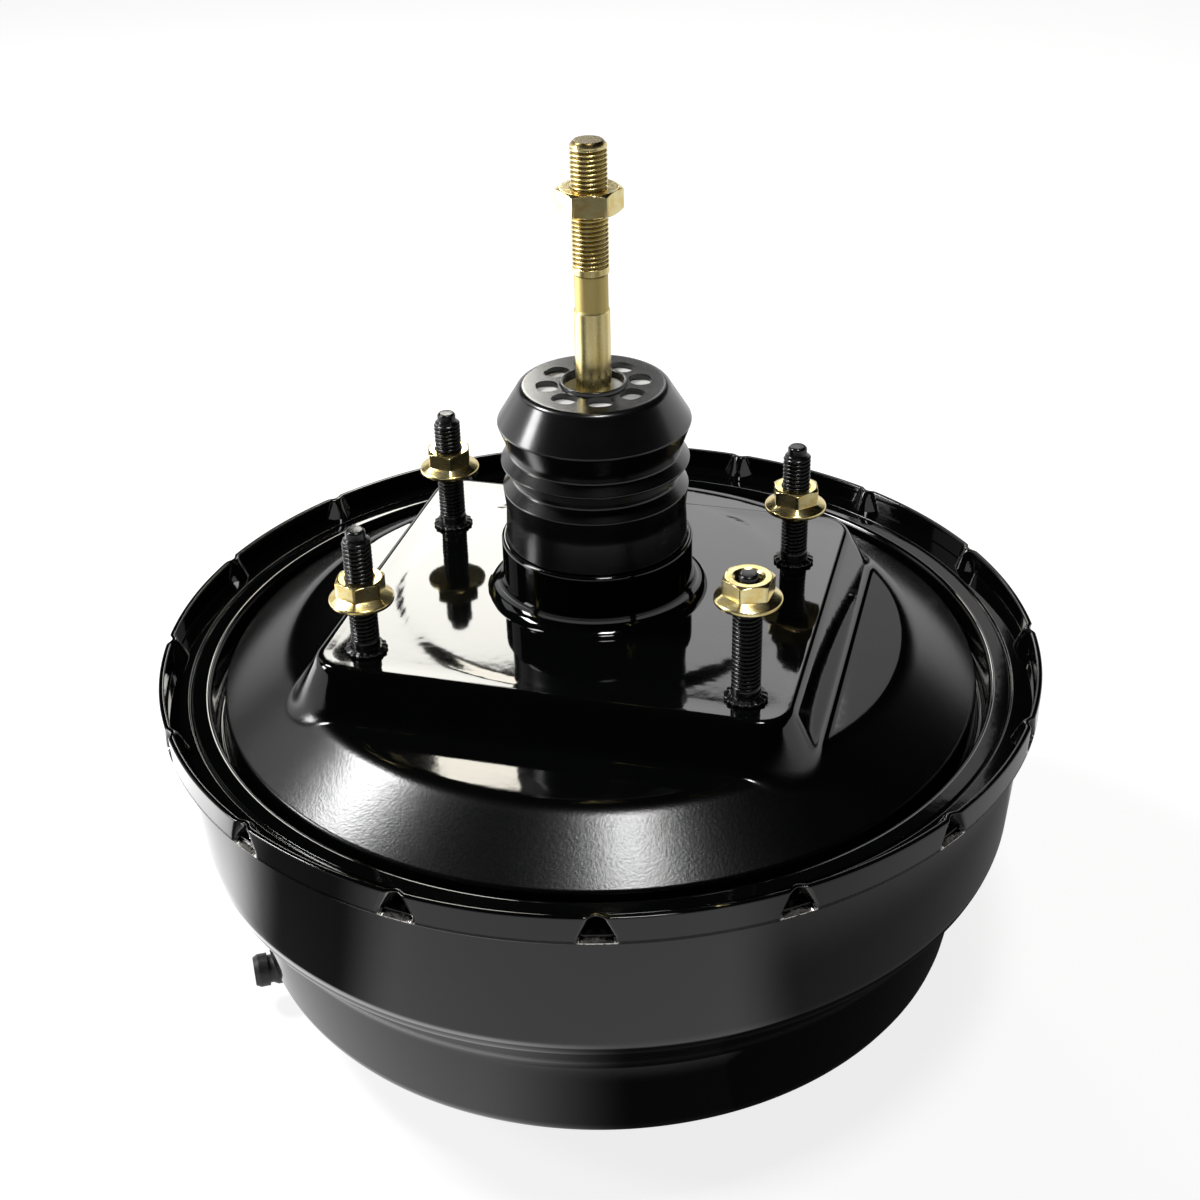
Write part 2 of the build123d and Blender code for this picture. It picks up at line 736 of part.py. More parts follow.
with BuildPart() as valve_body:
    turn(
        (disc_r + seat, nose_z),
        (hub_r - nose_bevel, nose_z),
        (hub_r, nose_z + nose_bevel),
        (hub_r, flange_front_z),
        (flange_r, flange_front_z),
        (flange_r, flange_back_z),
        (tube_r, flange_back_z),
        (tube_r, bead_back_z + seat),
        (lip_r, bead_back_z + seat),
        (lip_r, bead_back_z + lip_t),
        (tube_r, bead_back_z + lip_t + lip_r - tube_r),
        (tube_r, tube_end_z),
        (tube_bore_r, tube_end_z),
        (tube_bore_r, chamber_z),
        (chamber_r, chamber_z),
        (chamber_r, floor_z),
        (body_seat_r, floor_z),
        (body_seat_r, floor_z + seat_lip),
        (body_seat_r - seat_width, floor_z + seat_lip),
        (body_seat_r - seat_width, floor_z),
        (seat_bore_r, floor_z),
        (seat_bore_r, seat_bore_z),
        (plunger_r + seat, seat_bore_z),
        (plunger_r + seat, pocket_z),
        (disc_r + seat, pocket_z),
    )
    with BuildSketch(Plane.XY.offset(nose_z)):
        with PolarLocations(port_ring_r, port_count, start_angle=45):
            Circle(port_r)
    extrude(amount=floor_z - nose_z, mode=Mode.SUBTRACT)
    with Locations((0, 0, key_z + key_t / 2)):
        Box(
            hub_r + key_width,
            key_width + 2 * slip,
            key_t + 4 * seat,
            align=(Align.MIN, Align.CENTER, Align.CENTER),
            mode=Mode.SUBTRACT,
        )
        Cylinder(key_width / 2 + 2 * slip, key_t + 4 * seat, mode=Mode.SUBTRACT)
valve_body.part.label = "valve_body"
export_step(valve_body.part, "parts/valve_body.step")

with BuildPart() as stop_key:
    with BuildSketch(Plane.XY.offset(key_z)):
        with BuildLine():
            FilletPolyline(
                (0, -key_width / 2),
                (hub_r - slip, -key_width / 2),
                (hub_r - slip, key_width / 2),
                (0, key_width / 2),
                radius=key_corner,
            )
            RadiusArc((0, key_width / 2), (0, -key_width / 2), -key_width / 2)
        make_face()
        Circle(plunger_waist_r + slip, mode=Mode.SUBTRACT)
        with Locations((-key_width / 2, 0)):
            Rectangle(key_width, 2 * (plunger_waist_r + slip), mode=Mode.SUBTRACT)
    extrude(amount=key_t)
stop_key.part.label = "stop_key"
export_step(stop_key.part, "parts/stop_key.step")

with BuildPart() as reaction_disc:
    with BuildSketch(Plane.XY.offset(pocket_z - seat - disc_t)):
        Circle(disc_r)
    extrude(amount=disc_t)
reaction_disc.part.label = "reaction_disc"
export_step(reaction_disc.part, "parts/reaction_disc.step")

# ---------------------------------------------------------------- output rod
adjuster_hex_z = tip_recess + adjuster_nose
output_rod_z = adjuster_hex_z + adjuster_head + seat

with BuildPart() as output_rod:
    turn(
        (0, output_head_z + output_head_t),
        (disc_r, output_head_z + output_head_t),
        (disc_r, output_head_z),
        (output_rod_r + output_flare, output_head_z),
        (output_rod_r, output_head_z - output_flare),
        (output_rod_r, output_rod_z),
        (adjuster_r + seat, output_rod_z),
        (adjuster_r + seat, output_rod_z + adjuster_shank + slip),
        (0, output_rod_z + adjuster_shank + slip + adjuster_r / 2),
    )
output_rod.part.label = "output_rod"
export_step(output_rod.part, "parts/output_rod.step")

with BuildPart() as adjuster:
    turn(
        (0, tip_recess),
        (adjuster_r - adjuster_bevel, tip_recess),
        (adjuster_r, tip_recess + adjuster_bevel),
        (adjuster_r, output_rod_z + adjuster_shank),
        (0, output_rod_z + adjuster_shank),
    )
    with Locations((0, 0, adjuster_hex_z)):
        add(hex_nut(adjuster_flats, adjuster_head, adjuster_r - seat))
adjuster.part.label = "output_rod_adjuster"
export_step(adjuster.part, "parts/output_rod_adjuster.step")

with BuildPart() as output_rod_cap:
    cap_outline = [
        (output_rod_r + 2 * slip, nose_z - seat - cap_t),
        (hub_r + seat + cap_t, nose_z - seat - cap_t),
        (hub_r + seat + cap_t, nose_z + cap_skirt),
    ]
    turn_sheet(cap_outline, [0], -cap_t)
    with PolarLocations(port_ring_r, port_count, start_angle=45):
        with Locations((0, 0, nose_z - seat)):
            Cylinder(port_r + slip, 4 * cap_t, mode=Mode.SUBTRACT)
output_rod_cap.part.label = "output_rod_cap"
export_step(output_rod_cap.part, "parts/output_rod_cap.step")

# ---------------------------------------------------------------- plunger and control valve
socket_mouth_r = rod_neck_r + 2 * slip

with BuildPart() as valve_plunger:
    turn(
        (0, plunger_z),
        (plunger_r, plunger_z),
        (plunger_r, plunger_z + plunger_foot),
        (plunger_waist_r, plunger_z + plunger_foot),
        (plunger_waist_r, plunger_z + plunger_foot + plunger_waist),
        (plunger_r, plunger_z + plunger_foot + plunger_waist),
        (plunger_r, plunger_seat_z),
        (plunger_seat_r, plunger_seat_z),
        (plunger_seat_r, floor_z + seat_lip),
        (plunger_seat_r - seat_width, floor_z + seat_lip),
        (socket_mouth_r, floor_z - seat_lip),
        (0, floor_z - seat_lip),
    )
    with Locations((0, 0, ball_z)):
        Sphere(ball_r + 2 * seat, mode=Mode.SUBTRACT)
        Cylinder(
            socket_mouth_r,
            ball_drop,
            align=(Align.CENTER, Align.CENTER, Align.MIN),
            mode=Mode.SUBTRACT,
        )
valve_plunger.part.label = "valve_plunger"
export_step(valve_plunger.part, "parts/valve_plunger.step")

with BuildPart() as control_valve:
    turn(
        (poppet_bore_r, poppet_z),
        (poppet_r, poppet_z),
        (poppet_r, poppet_z + poppet_face),
        (chamber_r - seat - poppet_t, poppet_z + poppet_face + poppet_fold),
        (chamber_r - seat, poppet_z + poppet_face + 2 * poppet_fold),
        (chamber_r - seat, poppet_z + poppet_length),
        (cage_sleeve_r + seat, poppet_z + poppet_length),
        (cage_sleeve_r + seat, poppet_z + poppet_face + poppet_fold),
        (cage_sleeve_r - seat, poppet_z + poppet_face),
        (poppet_bore_r, poppet_z + poppet_face),
    )
control_valve.part.label = "control_valve"
export_step(control_valve.part, "parts/control_valve.step")

with BuildPart() as valve_cage:
    turn(
        (cage_bore_r, cage_z),
        (cage_sleeve_r - cage_t, cage_z),
        (cage_sleeve_r - cage_t, cage_z - cage_sleeve),
        (cage_sleeve_r, cage_z - cage_sleeve),
        (cage_sleeve_r, cage_z),
        (chamber_r - seat, cage_z),
        (chamber_r - seat, cage_z + cage_t),
        (cage_bore_r, cage_z + cage_t),
    )
valve_cage.part.label = "control_valve_cage"
export_step(valve_cage.part, "parts/control_valve_cage.step")

with BuildPart() as control_spring:
    coil(poppet_spring_r, poppet_wire_r, poppet_z + poppet_face + seat, cage_z - seat, control_turns)
control_spring.part.label = "control_valve_spring"
export_step(control_spring.part, "parts/control_valve_spring.step")

with BuildPart() as rod_spring:
    coil(rod_spring_r, rod_wire_r, cage_z + cage_t + seat, collar_z - seat, rod_turns)
rod_spring.part.label = "input_rod_spring"
export_step(rod_spring.part, "parts/input_rod_spring.step")

# ---------------------------------------------------------------- air filters in the tube's end
felt_z = tube_end_z - filter_depth
silencer_z = felt_z - seat - silencer_depth

with BuildPart() as air_filter:
    turn(
        (filter_bore_r, felt_z),
        (tube_bore_r - seat, felt_z),
        (tube_bore_r - seat, tube_end_z + seat),
        (filter_rim_r, tube_end_z + seat),
        (filter_rim_r, tube_end_z + filter_rim),
        (filter_bore_r, tube_end_z + filter_rim),
    )
air_filter.part.label = "air_filter"
export_step(air_filter.part, "parts/air_filter.step")

with BuildPart() as silencer:
    ring(filter_bore_r, tube_bore_r - seat, silencer_z, silencer_z + silencer_depth)
silencer.part.label = "air_silencer"
export_step(silencer.part, "parts/air_silencer.step")

# ---------------------------------------------------------------- input rod and its locknut
locknut_z = rod_end_z - clevis_thread - locknut_t
thread_z = rod_end_z - rod_thread
core_z = ball_z + rod_neck

with BuildPart() as input_rod:
    with Locations((0, 0, ball_z)):
        Sphere(ball_r)
    turn(
        (0, ball_z),
        (rod_neck_r, ball_z),
        (rod_neck_r, core_z),
        (rod_core_r, core_z + rod_core_r - rod_neck_r),
        (rod_core_r, collar_z),
        (collar_r, collar_z),
        (collar_r, collar_z + collar_t),
        (rod_r, collar_z + collar_t),
        (rod_r, thread_z - rod_band),
        (rod_mean_r, thread_z - rod_band + rod_r - rod_mean_r),
        (rod_mean_r, locknut_z + locknut_t + slip),
        (rod_r, locknut_z + locknut_t + slip + rod_r - rod_mean_r),
        (rod_r, rod_end_z - rod_bevel),
        (rod_r - rod_bevel, rod_end_z),
        (0, rod_end_z),
    )
input_rod.part.label = "input_rod"
export_step(input_rod.part, "parts/input_rod.step")

with BuildPart() as rod_locknut:
    with Locations((0, 0, locknut_z)):
        add(hex_nut(locknut_flats, locknut_t, rod_mean_r + seat))
rod_locknut.part.label = "input_rod_locknut"
export_step(rod_locknut.part, "parts/input_rod_locknut.step")

# ---------------------------------------------------------------- check valve in the front ring
ring_inside_z = -front_ring_drop + shell_wall
grommet_low_z = -front_ring_drop - grommet_rim
grommet_high_z = ring_inside_z + grommet_rim
house_top_z = grommet_low_z - seat
house_low_z = house_top_z - valve_house
nozzle_z = house_low_z + valve_wall + nozzle_bead_r - valve_wall / 2
nozzle_end = nozzle_length
nozzle_axis = Axis(valve_centre + Vector(0, 0, nozzle_z), tuple(valve_way))
stem_r = grommet_bore_r - seat
stem_end_z = grommet_high_z + seat + valve_barb

with BuildPart() as grommet:
    turn(
        (grommet_bore_r, grommet_low_z),
        (grommet_rim_r, grommet_low_z),
        (grommet_rim_r, -front_ring_drop - seat),
        (grommet_hole_r - seat, -front_ring_drop - seat),
        (grommet_hole_r - seat, ring_inside_z + seat),
        (grommet_rim_r - grommet_taper, ring_inside_z + seat),
        (grommet_hole_r, grommet_high_z),
        (grommet_bore_r, grommet_high_z),
        plane=valve_plane,
        axis=valve_axis,
    )
grommet.part.label = "check_valve_grommet"
export_step(grommet.part, "parts/check_valve_grommet.step")

with BuildPart() as check_valve_body:
    turn(
        (0, house_low_z),
        (valve_house_r, house_low_z),
        (valve_house_r, house_top_z),
        (stem_r, house_top_z),
        (stem_r, grommet_high_z + seat),
        (valve_barb_r, grommet_high_z + seat),
        (stem_r - valve_barb_taper, stem_end_z),
        (0, stem_end_z),
        plane=valve_plane,
        axis=valve_axis,
    )
    bead_steps = []
    for i in range(nozzle_beads):
        crest = nozzle_end - nozzle_tip - nozzle_bead - (nozzle_beads - 1 - i) * nozzle_bead_pitch
        bead_steps += [
            (crest, nozzle_z + nozzle_r),
            (crest, nozzle_z + nozzle_bead_r),
            (crest + nozzle_bead, nozzle_z + nozzle_bead_r),
            (crest + nozzle_bead + nozzle_tip, nozzle_z + nozzle_r),
        ]
    turn(
        (0, nozzle_z),
        (0, nozzle_z + nozzle_r),
        *bead_steps,
        (nozzle_end, nozzle_z),
        plane=valve_plane,
        axis=nozzle_axis,
    )
    turn(
        (0, house_low_z + valve_wall),
        (valve_disc_r + 3 * slip, house_low_z + valve_wall),
        (valve_disc_r + 3 * slip, house_top_z - valve_wall),
        (valve_throat_r, house_top_z - valve_wall),
        (valve_throat_r, stem_end_z),
        (0, stem_end_z),
        plane=valve_plane,
        axis=valve_axis,
        mode=Mode.SUBTRACT,
    )
    turn(
        (0, nozzle_z),
        (0, nozzle_z + nozzle_bore_r),
        (nozzle_end, nozzle_z + nozzle_bore_r),
        (nozzle_end, nozzle_z),
        plane=valve_plane,
        axis=nozzle_axis,
        mode=Mode.SUBTRACT,
    )
check_valve_body.part.label = "check_valve_body"
export_step(check_valve_body.part, "parts/check_valve_body.step")

disc_top_z = house_top_z - valve_wall - seat

with BuildPart() as check_valve_disc:
    turn(
        (0, disc_top_z - valve_disc_t),
        (valve_disc_r, disc_top_z - valve_disc_t),
        (valve_disc_r, disc_top_z),
        (0, disc_top_z),
        plane=valve_plane,
        axis=valve_axis,
    )
check_valve_disc.part.label = "check_valve_disc"
export_step(check_valve_disc.part, "parts/check_valve_disc.step")

with BuildPart() as check_valve_spring:
    coil(
        valve_spring_r,
        valve_wire_r,
        house_low_z + valve_wall + seat,
        disc_top_z - valve_disc_t - seat,
        valve_turns,
        centre=valve_centre,
    )
check_valve_spring.part.label = "check_valve_spring"
export_step(check_valve_spring.part, "parts/check_valve_spring.step")
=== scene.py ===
"""A single-diaphragm vacuum brake booster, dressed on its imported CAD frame."""

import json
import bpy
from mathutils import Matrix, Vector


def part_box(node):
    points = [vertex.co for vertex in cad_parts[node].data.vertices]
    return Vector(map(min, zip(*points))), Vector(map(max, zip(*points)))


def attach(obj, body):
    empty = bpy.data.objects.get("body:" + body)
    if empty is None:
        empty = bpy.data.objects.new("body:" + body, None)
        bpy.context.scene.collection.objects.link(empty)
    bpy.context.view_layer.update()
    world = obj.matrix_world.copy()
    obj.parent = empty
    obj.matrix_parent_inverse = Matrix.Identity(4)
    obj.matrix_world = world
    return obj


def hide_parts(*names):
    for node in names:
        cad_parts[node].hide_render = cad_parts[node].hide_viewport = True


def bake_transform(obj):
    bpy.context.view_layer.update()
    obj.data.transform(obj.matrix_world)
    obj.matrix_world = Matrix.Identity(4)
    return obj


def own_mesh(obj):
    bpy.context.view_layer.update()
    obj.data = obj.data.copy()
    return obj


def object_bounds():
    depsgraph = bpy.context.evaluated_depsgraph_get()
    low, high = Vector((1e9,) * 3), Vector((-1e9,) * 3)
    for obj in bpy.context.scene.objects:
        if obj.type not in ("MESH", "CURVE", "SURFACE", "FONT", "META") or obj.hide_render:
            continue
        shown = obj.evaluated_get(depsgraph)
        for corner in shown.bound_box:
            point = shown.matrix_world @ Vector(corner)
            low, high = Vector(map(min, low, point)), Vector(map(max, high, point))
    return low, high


bl_info = {
    "name": "Vacuum Brake Booster",
    "version": (1, 0, 0),
    "blender": (4, 5, 0),
    "location": "3D View > Sidebar > Booster",
    "description": "Dresses a packed brake booster: shells, threads, rubber and studio light",
    "category": "Object",
}

import bmesh
import bpy
import numpy as np
from mathutils import Matrix, Vector

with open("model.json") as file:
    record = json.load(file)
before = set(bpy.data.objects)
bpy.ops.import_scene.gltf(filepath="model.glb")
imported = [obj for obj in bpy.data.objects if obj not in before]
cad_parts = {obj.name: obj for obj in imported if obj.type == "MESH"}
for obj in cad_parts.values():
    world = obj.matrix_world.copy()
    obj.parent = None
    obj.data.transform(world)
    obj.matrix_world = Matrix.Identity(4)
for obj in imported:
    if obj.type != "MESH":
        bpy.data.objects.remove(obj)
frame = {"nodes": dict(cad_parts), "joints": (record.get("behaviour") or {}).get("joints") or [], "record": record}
cad_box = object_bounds()

MM = 0.001
TURN = 2 * np.pi


# ---------------------------------------------------------------- places read from the frame
def low(node):
    """Lowest corner of a CAD node."""
    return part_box(node)[0]


def high(node):
    """Highest corner of a CAD node."""
    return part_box(node)[1]


def mount(name):
    """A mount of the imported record."""
    return next(m for m in frame["record"]["mounts"] if m["name"] == name)


def travel(joint):
    """How far a joint goes from rest, in metres."""
    return next(j for j in frame["joints"] if j["name"] == joint)["range_m"][1]


def stud_places(name):
    """The four stud centres of a bolt pattern, left before right and front before back."""
    pattern = mount(name)
    half = np.array([pattern["dims"]["spacing_x_mm"], pattern["dims"]["spacing_y_mm"]]) * MM / 2
    signs = np.array([[-1, -1], [1, -1], [-1, 1], [1, 1]])
    return np.array(pattern["pos_m"][:2]) + signs * half


RIM_Z = high("front_shell").z
RIM_R = high("front_shell").x
RING_Z = low("front_shell").z  # face of the front shell round its dish
NECK_Z = high("rear_shell").z
PAD_Z = mount("firewall_face")["pos_m"][2]
NECK_R = mount("firewall_spigot")["dims"]["r_mm"] * MM
PILOT_R = mount("master_cylinder_pilot")["dims"]["r_mm"] * MM
STUD_R = mount("firewall_studs")["dims"]["stud_r_mm"] * MM
ROD_R = mount("input_rod_thread")["dims"]["r_mm"] * MM
GROOVE_Z = low("rear_shell").z + 1.6 * MM  # top of the sheet in the rear shell's channel
CRIMP_Z = GROOVE_Z + 10.2 * MM  # sheared foot of the crimps
FLANGE_Z = GROOVE_Z + 11.6 * MM  # top of the rear shell's flange
BOOT_TOP_Z = high("boot").z - 1.0 * MM  # the lip round the rod stands above it
DISH_R = high("front_reinforcement_plate").x + 4.2 * MM
WINDOWS = 8  # air windows in the boot's top


# ---------------------------------------------------------------- sizes and colours to change
def length(name, description, value):
    """A length in millimetres, shown in the panel in the scene's own unit."""
    return bpy.props.FloatProperty(
        name=name, description=description, default=value * MM, subtype="DISTANCE", unit="LENGTH"
    )


def colour(name, description, value):
    """A colour, with its default."""
    return bpy.props.FloatVectorProperty(
        name=name, description=description, default=value, subtype="COLOR", size=3, min=0, max=1
    )


class ShellSizes(bpy.types.PropertyGroup):
    """The two pressed shells."""

    wall: length("Wall", "Sheet of both shells", 1.6)
    crimps: bpy.props.IntProperty(name="Crimps", description="Crimps round the rim", default=16)
    crimp_phase: bpy.props.FloatProperty(
        name="Crimp phase",
        description="Angle of the first crimp from +X",
        default=np.radians(14.35),
        subtype="ANGLE",
        unit="ROTATION",
    )
    crimp_half: length("Crimp half width", "From a crimp's middle to its side", 5.4)
    crimp_depth: length("Crimp depth", "How far a crimp is pressed in at its sheared foot", 4.6)
    crimp_edge: length("Crimp at the edge", "How far it pulls the band's top edge in", 1.0)
    pad_length: length("Pad length", "Firewall pad along X, at its top", 134)
    pad_width: length("Pad width", "Firewall pad along Y, at its top", 117)
    pad_shift: length("Pad shift", "Pad's middle along Y", -2.5)
    pad_corner: length("Pad corner", "Corner radius of the pad's top", 9)
    pad_edge: length("Pad edge", "Softness of the pad's top edge", 1.5)
    pad_foot: length("Pad foot", "Softness where the pad meets the plateau", 2.2)
    plateau_rise: length("Plateau", "Plateau above the rim's top edge", 4.7)
    plateau_r: length("Plateau radius", "Where the cone starts", 91.4)
    cone_drop: length("Cone drop", "Cone's foot below the plateau", 12)
    cone_r: length("Cone radius", "Cone's foot", 111.8)
    boss_r: length("Boss radius", "Faint round step on the pad", 58)
    boss_rise: length("Boss rise", "Height of that step", 0.16)


class FastenerSizes(bpy.types.PropertyGroup):
    """Studs, nuts and the input rod."""

    stud_pitch: length("Stud pitch", "M8 thread", 1.25)
    stud_base: length("Stud base", "Plain stretch above the pad", 3.5)
    collar_r: length("Collar radius", "Pressed collar at a stud's base", 5.8)
    nut_flats: length("Nut flats", "Hexagon of the flange nuts", 12.4)
    nut_flange: length("Nut flange", "Radius of their flange", 9)
    nut_height: length("Nut height", "Flange nut, foot to top", 7.2)
    nut_places: bpy.props.FloatVectorProperty(
        name="Nut places",
        description="Each nut's foot above the pad, in the order of the studs",
        default=(16 * MM, 30 * MM, 19 * MM, 18 * MM),
        size=4,
        unit="LENGTH",
    )
    rod_pitch: length("Rod pitch", "M10 thread", 1.25)
    rod_thread: length("Rod thread", "Threaded end of the input rod", 35)
    rod_band: length("Rod band", "Turned-down stretch below the thread", 11.5)
    rod_collar: length("Rod collar", "Height of the collar that carries the rod's spring", 146.15)
    locknut_flats: length("Locknut flats", "Hexagon of the rod's locknut", 16)
    locknut_height: length("Locknut height", "Height of the rod's locknut", 6.4)


class Finish(bpy.types.PropertyGroup):
    """Colours of the finishes."""

    enamel: colour("Enamel", "Black enamel of the shells", (0.0012, 0.0014, 0.0013))
    zinc: colour("Yellow zinc", "Passivated zinc of the rod and the nuts", (0.84, 0.73, 0.38))
    rubber: colour("Rubber", "Boot and seals", (0.0035, 0.0036, 0.0038))
    felt: colour("Felt", "Air filter", (0.92, 0.92, 0.90))
    floor: colour("Floor", "Studio floor", (0.4, 0.4, 0.4))


def sizes():
    """The three groups of settings of this scene."""
    scene = bpy.context.scene
    return scene.booster_shell, scene.booster_fasteners, scene.booster_finish


# ---------------------------------------------------------------- grids and profiles
def outline(corners, bends, steps=6, hem=0.2 * MM):
    """Radius and height along a bent profile.

    Each corner with a bend is an arc of that radius between the points where it touches its two
    runs, found from the half angle between them. A hem point stands just outside each end of an
    arc, so that flat runs stay flat where the surface is shaded smooth.
    """
    corners = np.array(corners, float)
    points = [corners[0]]
    for before, corner, after, bend in zip(corners, corners[1:], corners[2:], bends):
        back = (before - corner) / np.linalg.norm(before - corner)
        ahead = (after - corner) / np.linalg.norm(after - corner)
        half = np.arccos(np.clip(back @ ahead, -1, 1)) / 2
        reach = bend / np.tan(half)
        centre = corner + (back + ahead) / np.linalg.norm(back + ahead) * bend / np.sin(half)
        first, last = corner + back * reach - centre, corner + ahead * reach - centre
        t = np.linspace(0, 1, steps + 1)[:, None]
        sweep = np.pi - 2 * half
        arc = (np.sin((1 - t) * sweep) * first + np.sin(t * sweep) * last) / np.sin(sweep)
        points += [corner + back * (reach + hem), *(centre + arc), corner + ahead * (reach + hem)]
    return np.array(points + [corners[-1]])


def around(r, z, angle):
    """Points at those radii and heights over those angles round the axis."""
    return np.stack([r * np.cos(angle), r * np.sin(angle), z + 0 * angle], axis=-1)


def turned(profile, columns=96, centre=(0, 0, 0)):
    """A profile of radius and height carried round the vertical axis through centre."""
    angle = np.linspace(0, TURN, columns, endpoint=False)
    return around(profile[:, :1], profile[:, 1:2], angle) + np.array(centre)


def turned_about(profile, origin, along, columns=64):
    """A profile of radius and distance carried round any axis, given by a point and a direction."""
    grid = turned(profile, columns)
    turn = Vector((0, 0, 1)).rotation_difference(Vector(along)).to_matrix()
    return grid @ np.array(turn).T + np.array(origin)


def patch(grid, wrap=True, loop=False):
    """Points and quads of a grid [row, column], closed across its columns and its rows as asked."""
    rows, columns = grid.shape[:2]
    number = np.arange(rows * columns).reshape(rows, columns)
    if wrap:
        number = np.concatenate([number, number[:, :1]], axis=1)
    if loop:
        number = np.concatenate([number, number[:1]], axis=0)
    quads = np.stack(
        [number[:-1, :-1], number[:-1, 1:], number[1:, 1:], number[1:, :-1]], axis=-1
    )
    return grid.reshape(-1, 3), quads.reshape(-1, 4)


def solid(name, patches, body, slot, stands_for, crease=None, marks=None, finish=None):
    """One piece from its patches: welded, turned outwards, shaded, and riding on its body.

    It stands for a CAD node and takes the finish of its slot, unless it is given its own. Edges
    sharper than crease, in degrees, stay sharp. Marks are values of its points by name.
    """
    starts = np.cumsum([0] + [len(points) for points, _ in patches])
    points = np.concatenate([points for points, _ in patches])
    quads = np.concatenate([quads + start for (_, quads), start in zip(patches, starts)])
    mesh = bpy.data.meshes.new(name)
    mesh.from_pydata(points, [], quads)
    for key, values in (marks or {}).items():
        mesh.attributes.new(key, "FLOAT", "POINT").data.foreach_set(
            "value", values.astype(np.float32).ravel()
        )
    shape = bmesh.new()
    shape.from_mesh(mesh)
    bmesh.ops.remove_doubles(shape, verts=shape.verts, dist=0.002 * MM)
    bmesh.ops.recalc_face_normals(shape, faces=shape.faces)
    shape.to_mesh(mesh)
    shape.free()
    mesh.shade_smooth()
    if crease:
        mesh.set_sharp_from_angle(angle=np.radians(crease))
    mesh.materials.append(finish or finish_of(slot))
    piece = bpy.data.objects.new(name, mesh)
    bpy.context.scene.collection.objects.link(piece)
    if body:
        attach(piece, body)
    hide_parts(stands_for)
    return piece


def soft_min(a, b, width):
    """The lower of two heights, with a parabola of that width where they cross."""
    near = np.maximum(width - np.abs(a - b), 0) / width
    return np.minimum(a, b) - near**2 * width / 4


def soft_max(a, b, width):
    """The higher of two heights, with a parabola of that width where they cross."""
    return -soft_min(-a, -b, width)


def ease(t):
    """A smooth step from 0 to 1."""
    t = np.clip(t, 0, 1)
    return t * t * (3 - 2 * t)


# ---------------------------------------------------------------- shader maths
class Wire:
    """An output socket that takes part in Python sums; each step adds its Math node."""

    def __init__(self, look, socket):
        self.look = look
        self.socket = socket

    def step(self, operation, *values):
        """A Math node of that operation over the values."""
        return self.look.node(
            "ShaderNodeMath", {"operation": operation}, dict(enumerate(values))
        )

    def __add__(self, other):
        return self.step("ADD", self, other)

    __radd__ = __add__

    def __sub__(self, other):
        return self.step("SUBTRACT", self, other)

    def __rsub__(self, other):
        return self.step("SUBTRACT", other, self)

    def __mul__(self, other):
        return self.step("MULTIPLY", self, other)

    __rmul__ = __mul__

    def __pow__(self, other):
        return self.step("POWER", self, other)

    def clamp(self, start, end):
        """0 below start, 1 above end, and smooth between."""
        return self.look.node(
            "ShaderNodeMapRange",
            {"interpolation_type": "SMOOTHSTEP"},
            {"Value": self, "From Min": start, "From Max": end},
        )


class Look:
    """The node tree of a new material, or of a world, in Object coordinates."""

    def __init__(self, name, owner=None):
        self.owner = owner or bpy.data.materials.new(name + "_finish")
        self.owner.use_nodes = True
        self.tree = self.owner.node_tree
        self.tree.nodes.clear()

    def node(self, kind, settings=None, sockets=None, out=0):
        """A node of that type with its settings, then its sockets, as values or links."""
        node = self.tree.nodes.new(kind)
        for key, value in (settings or {}).items():
            setattr(node, key, value)
        for key, value in (sockets or {}).items():
            if isinstance(value, Wire):
                self.tree.links.new(value.socket, node.inputs[key])
            else:
                node.inputs[key].default_value = value
        return Wire(self, node.outputs[out]) if node.outputs else None

    @property
    def place(self):
        """Object coordinates, in metres."""
        return self.node("ShaderNodeTexCoord", out="Object")

    def axes(self):
        """The three Object coordinates apart."""
        split = {"Vector": self.place}
        return [self.node("ShaderNodeSeparateXYZ", None, split, out=axis) for axis in "XYZ"]

    def ray(self, kind):
        """1 where a ray of that kind looks, else 0."""
        return self.node("ShaderNodeLightPath", out=f"Is {kind} Ray")

    def glow(self, strength):
        """White light given off."""
        return self.node("ShaderNodeEmission", None, {"Strength": strength})

    def mix(self, share, a, b):
        """Surface a where share is 0 and b where it is 1."""
        return self.node("ShaderNodeMixShader", None, {0: share, 1: a, 2: b})

    def noise(self, scale, detail=2.0, rough=0.5, place=None):
        """Cloudy noise, about 0 to 1, with that many lumps to the metre."""
        sockets = {"Scale": scale, "Detail": detail, "Roughness": rough}
        sockets["Vector"] = place or self.place
        return self.node("ShaderNodeTexNoise", None, sockets, out="Fac")

    def stretched(self, x, y, z):
        """Object coordinates drawn out, for grain that runs one way."""
        return self.node("ShaderNodeMapping", None, {"Vector": self.place, "Scale": (x, y, z)})

    def blend(self, share, a, b):
        """Colour a where share is 0 and b where it is 1."""
        a, b = (colour if isinstance(colour, Wire) else (*colour, 1) for colour in (a, b))
        return self.node("ShaderNodeMix", {"data_type": "RGBA"}, {0: share, 6: a, 7: b}, out=2)

    def bump(self, height, distance, strength=1.0, normal=None):
        """A surface pushed out along height, in metres at height 1."""
        sockets = {"Height": height, "Distance": distance, "Strength": strength}
        if normal:
            sockets["Normal"] = normal
        return self.node("ShaderNodeBump", None, sockets)

    def finish(self, **sockets):
        """The Principled surface with those sockets, underscores for spaces."""
        shader = self.node(
            "ShaderNodeBsdfPrincipled",
            None,
            {key.replace("_", " "): value for key, value in sockets.items()},
        )
        self.node("ShaderNodeOutputMaterial", None, {"Surface": shader})
        return self.owner


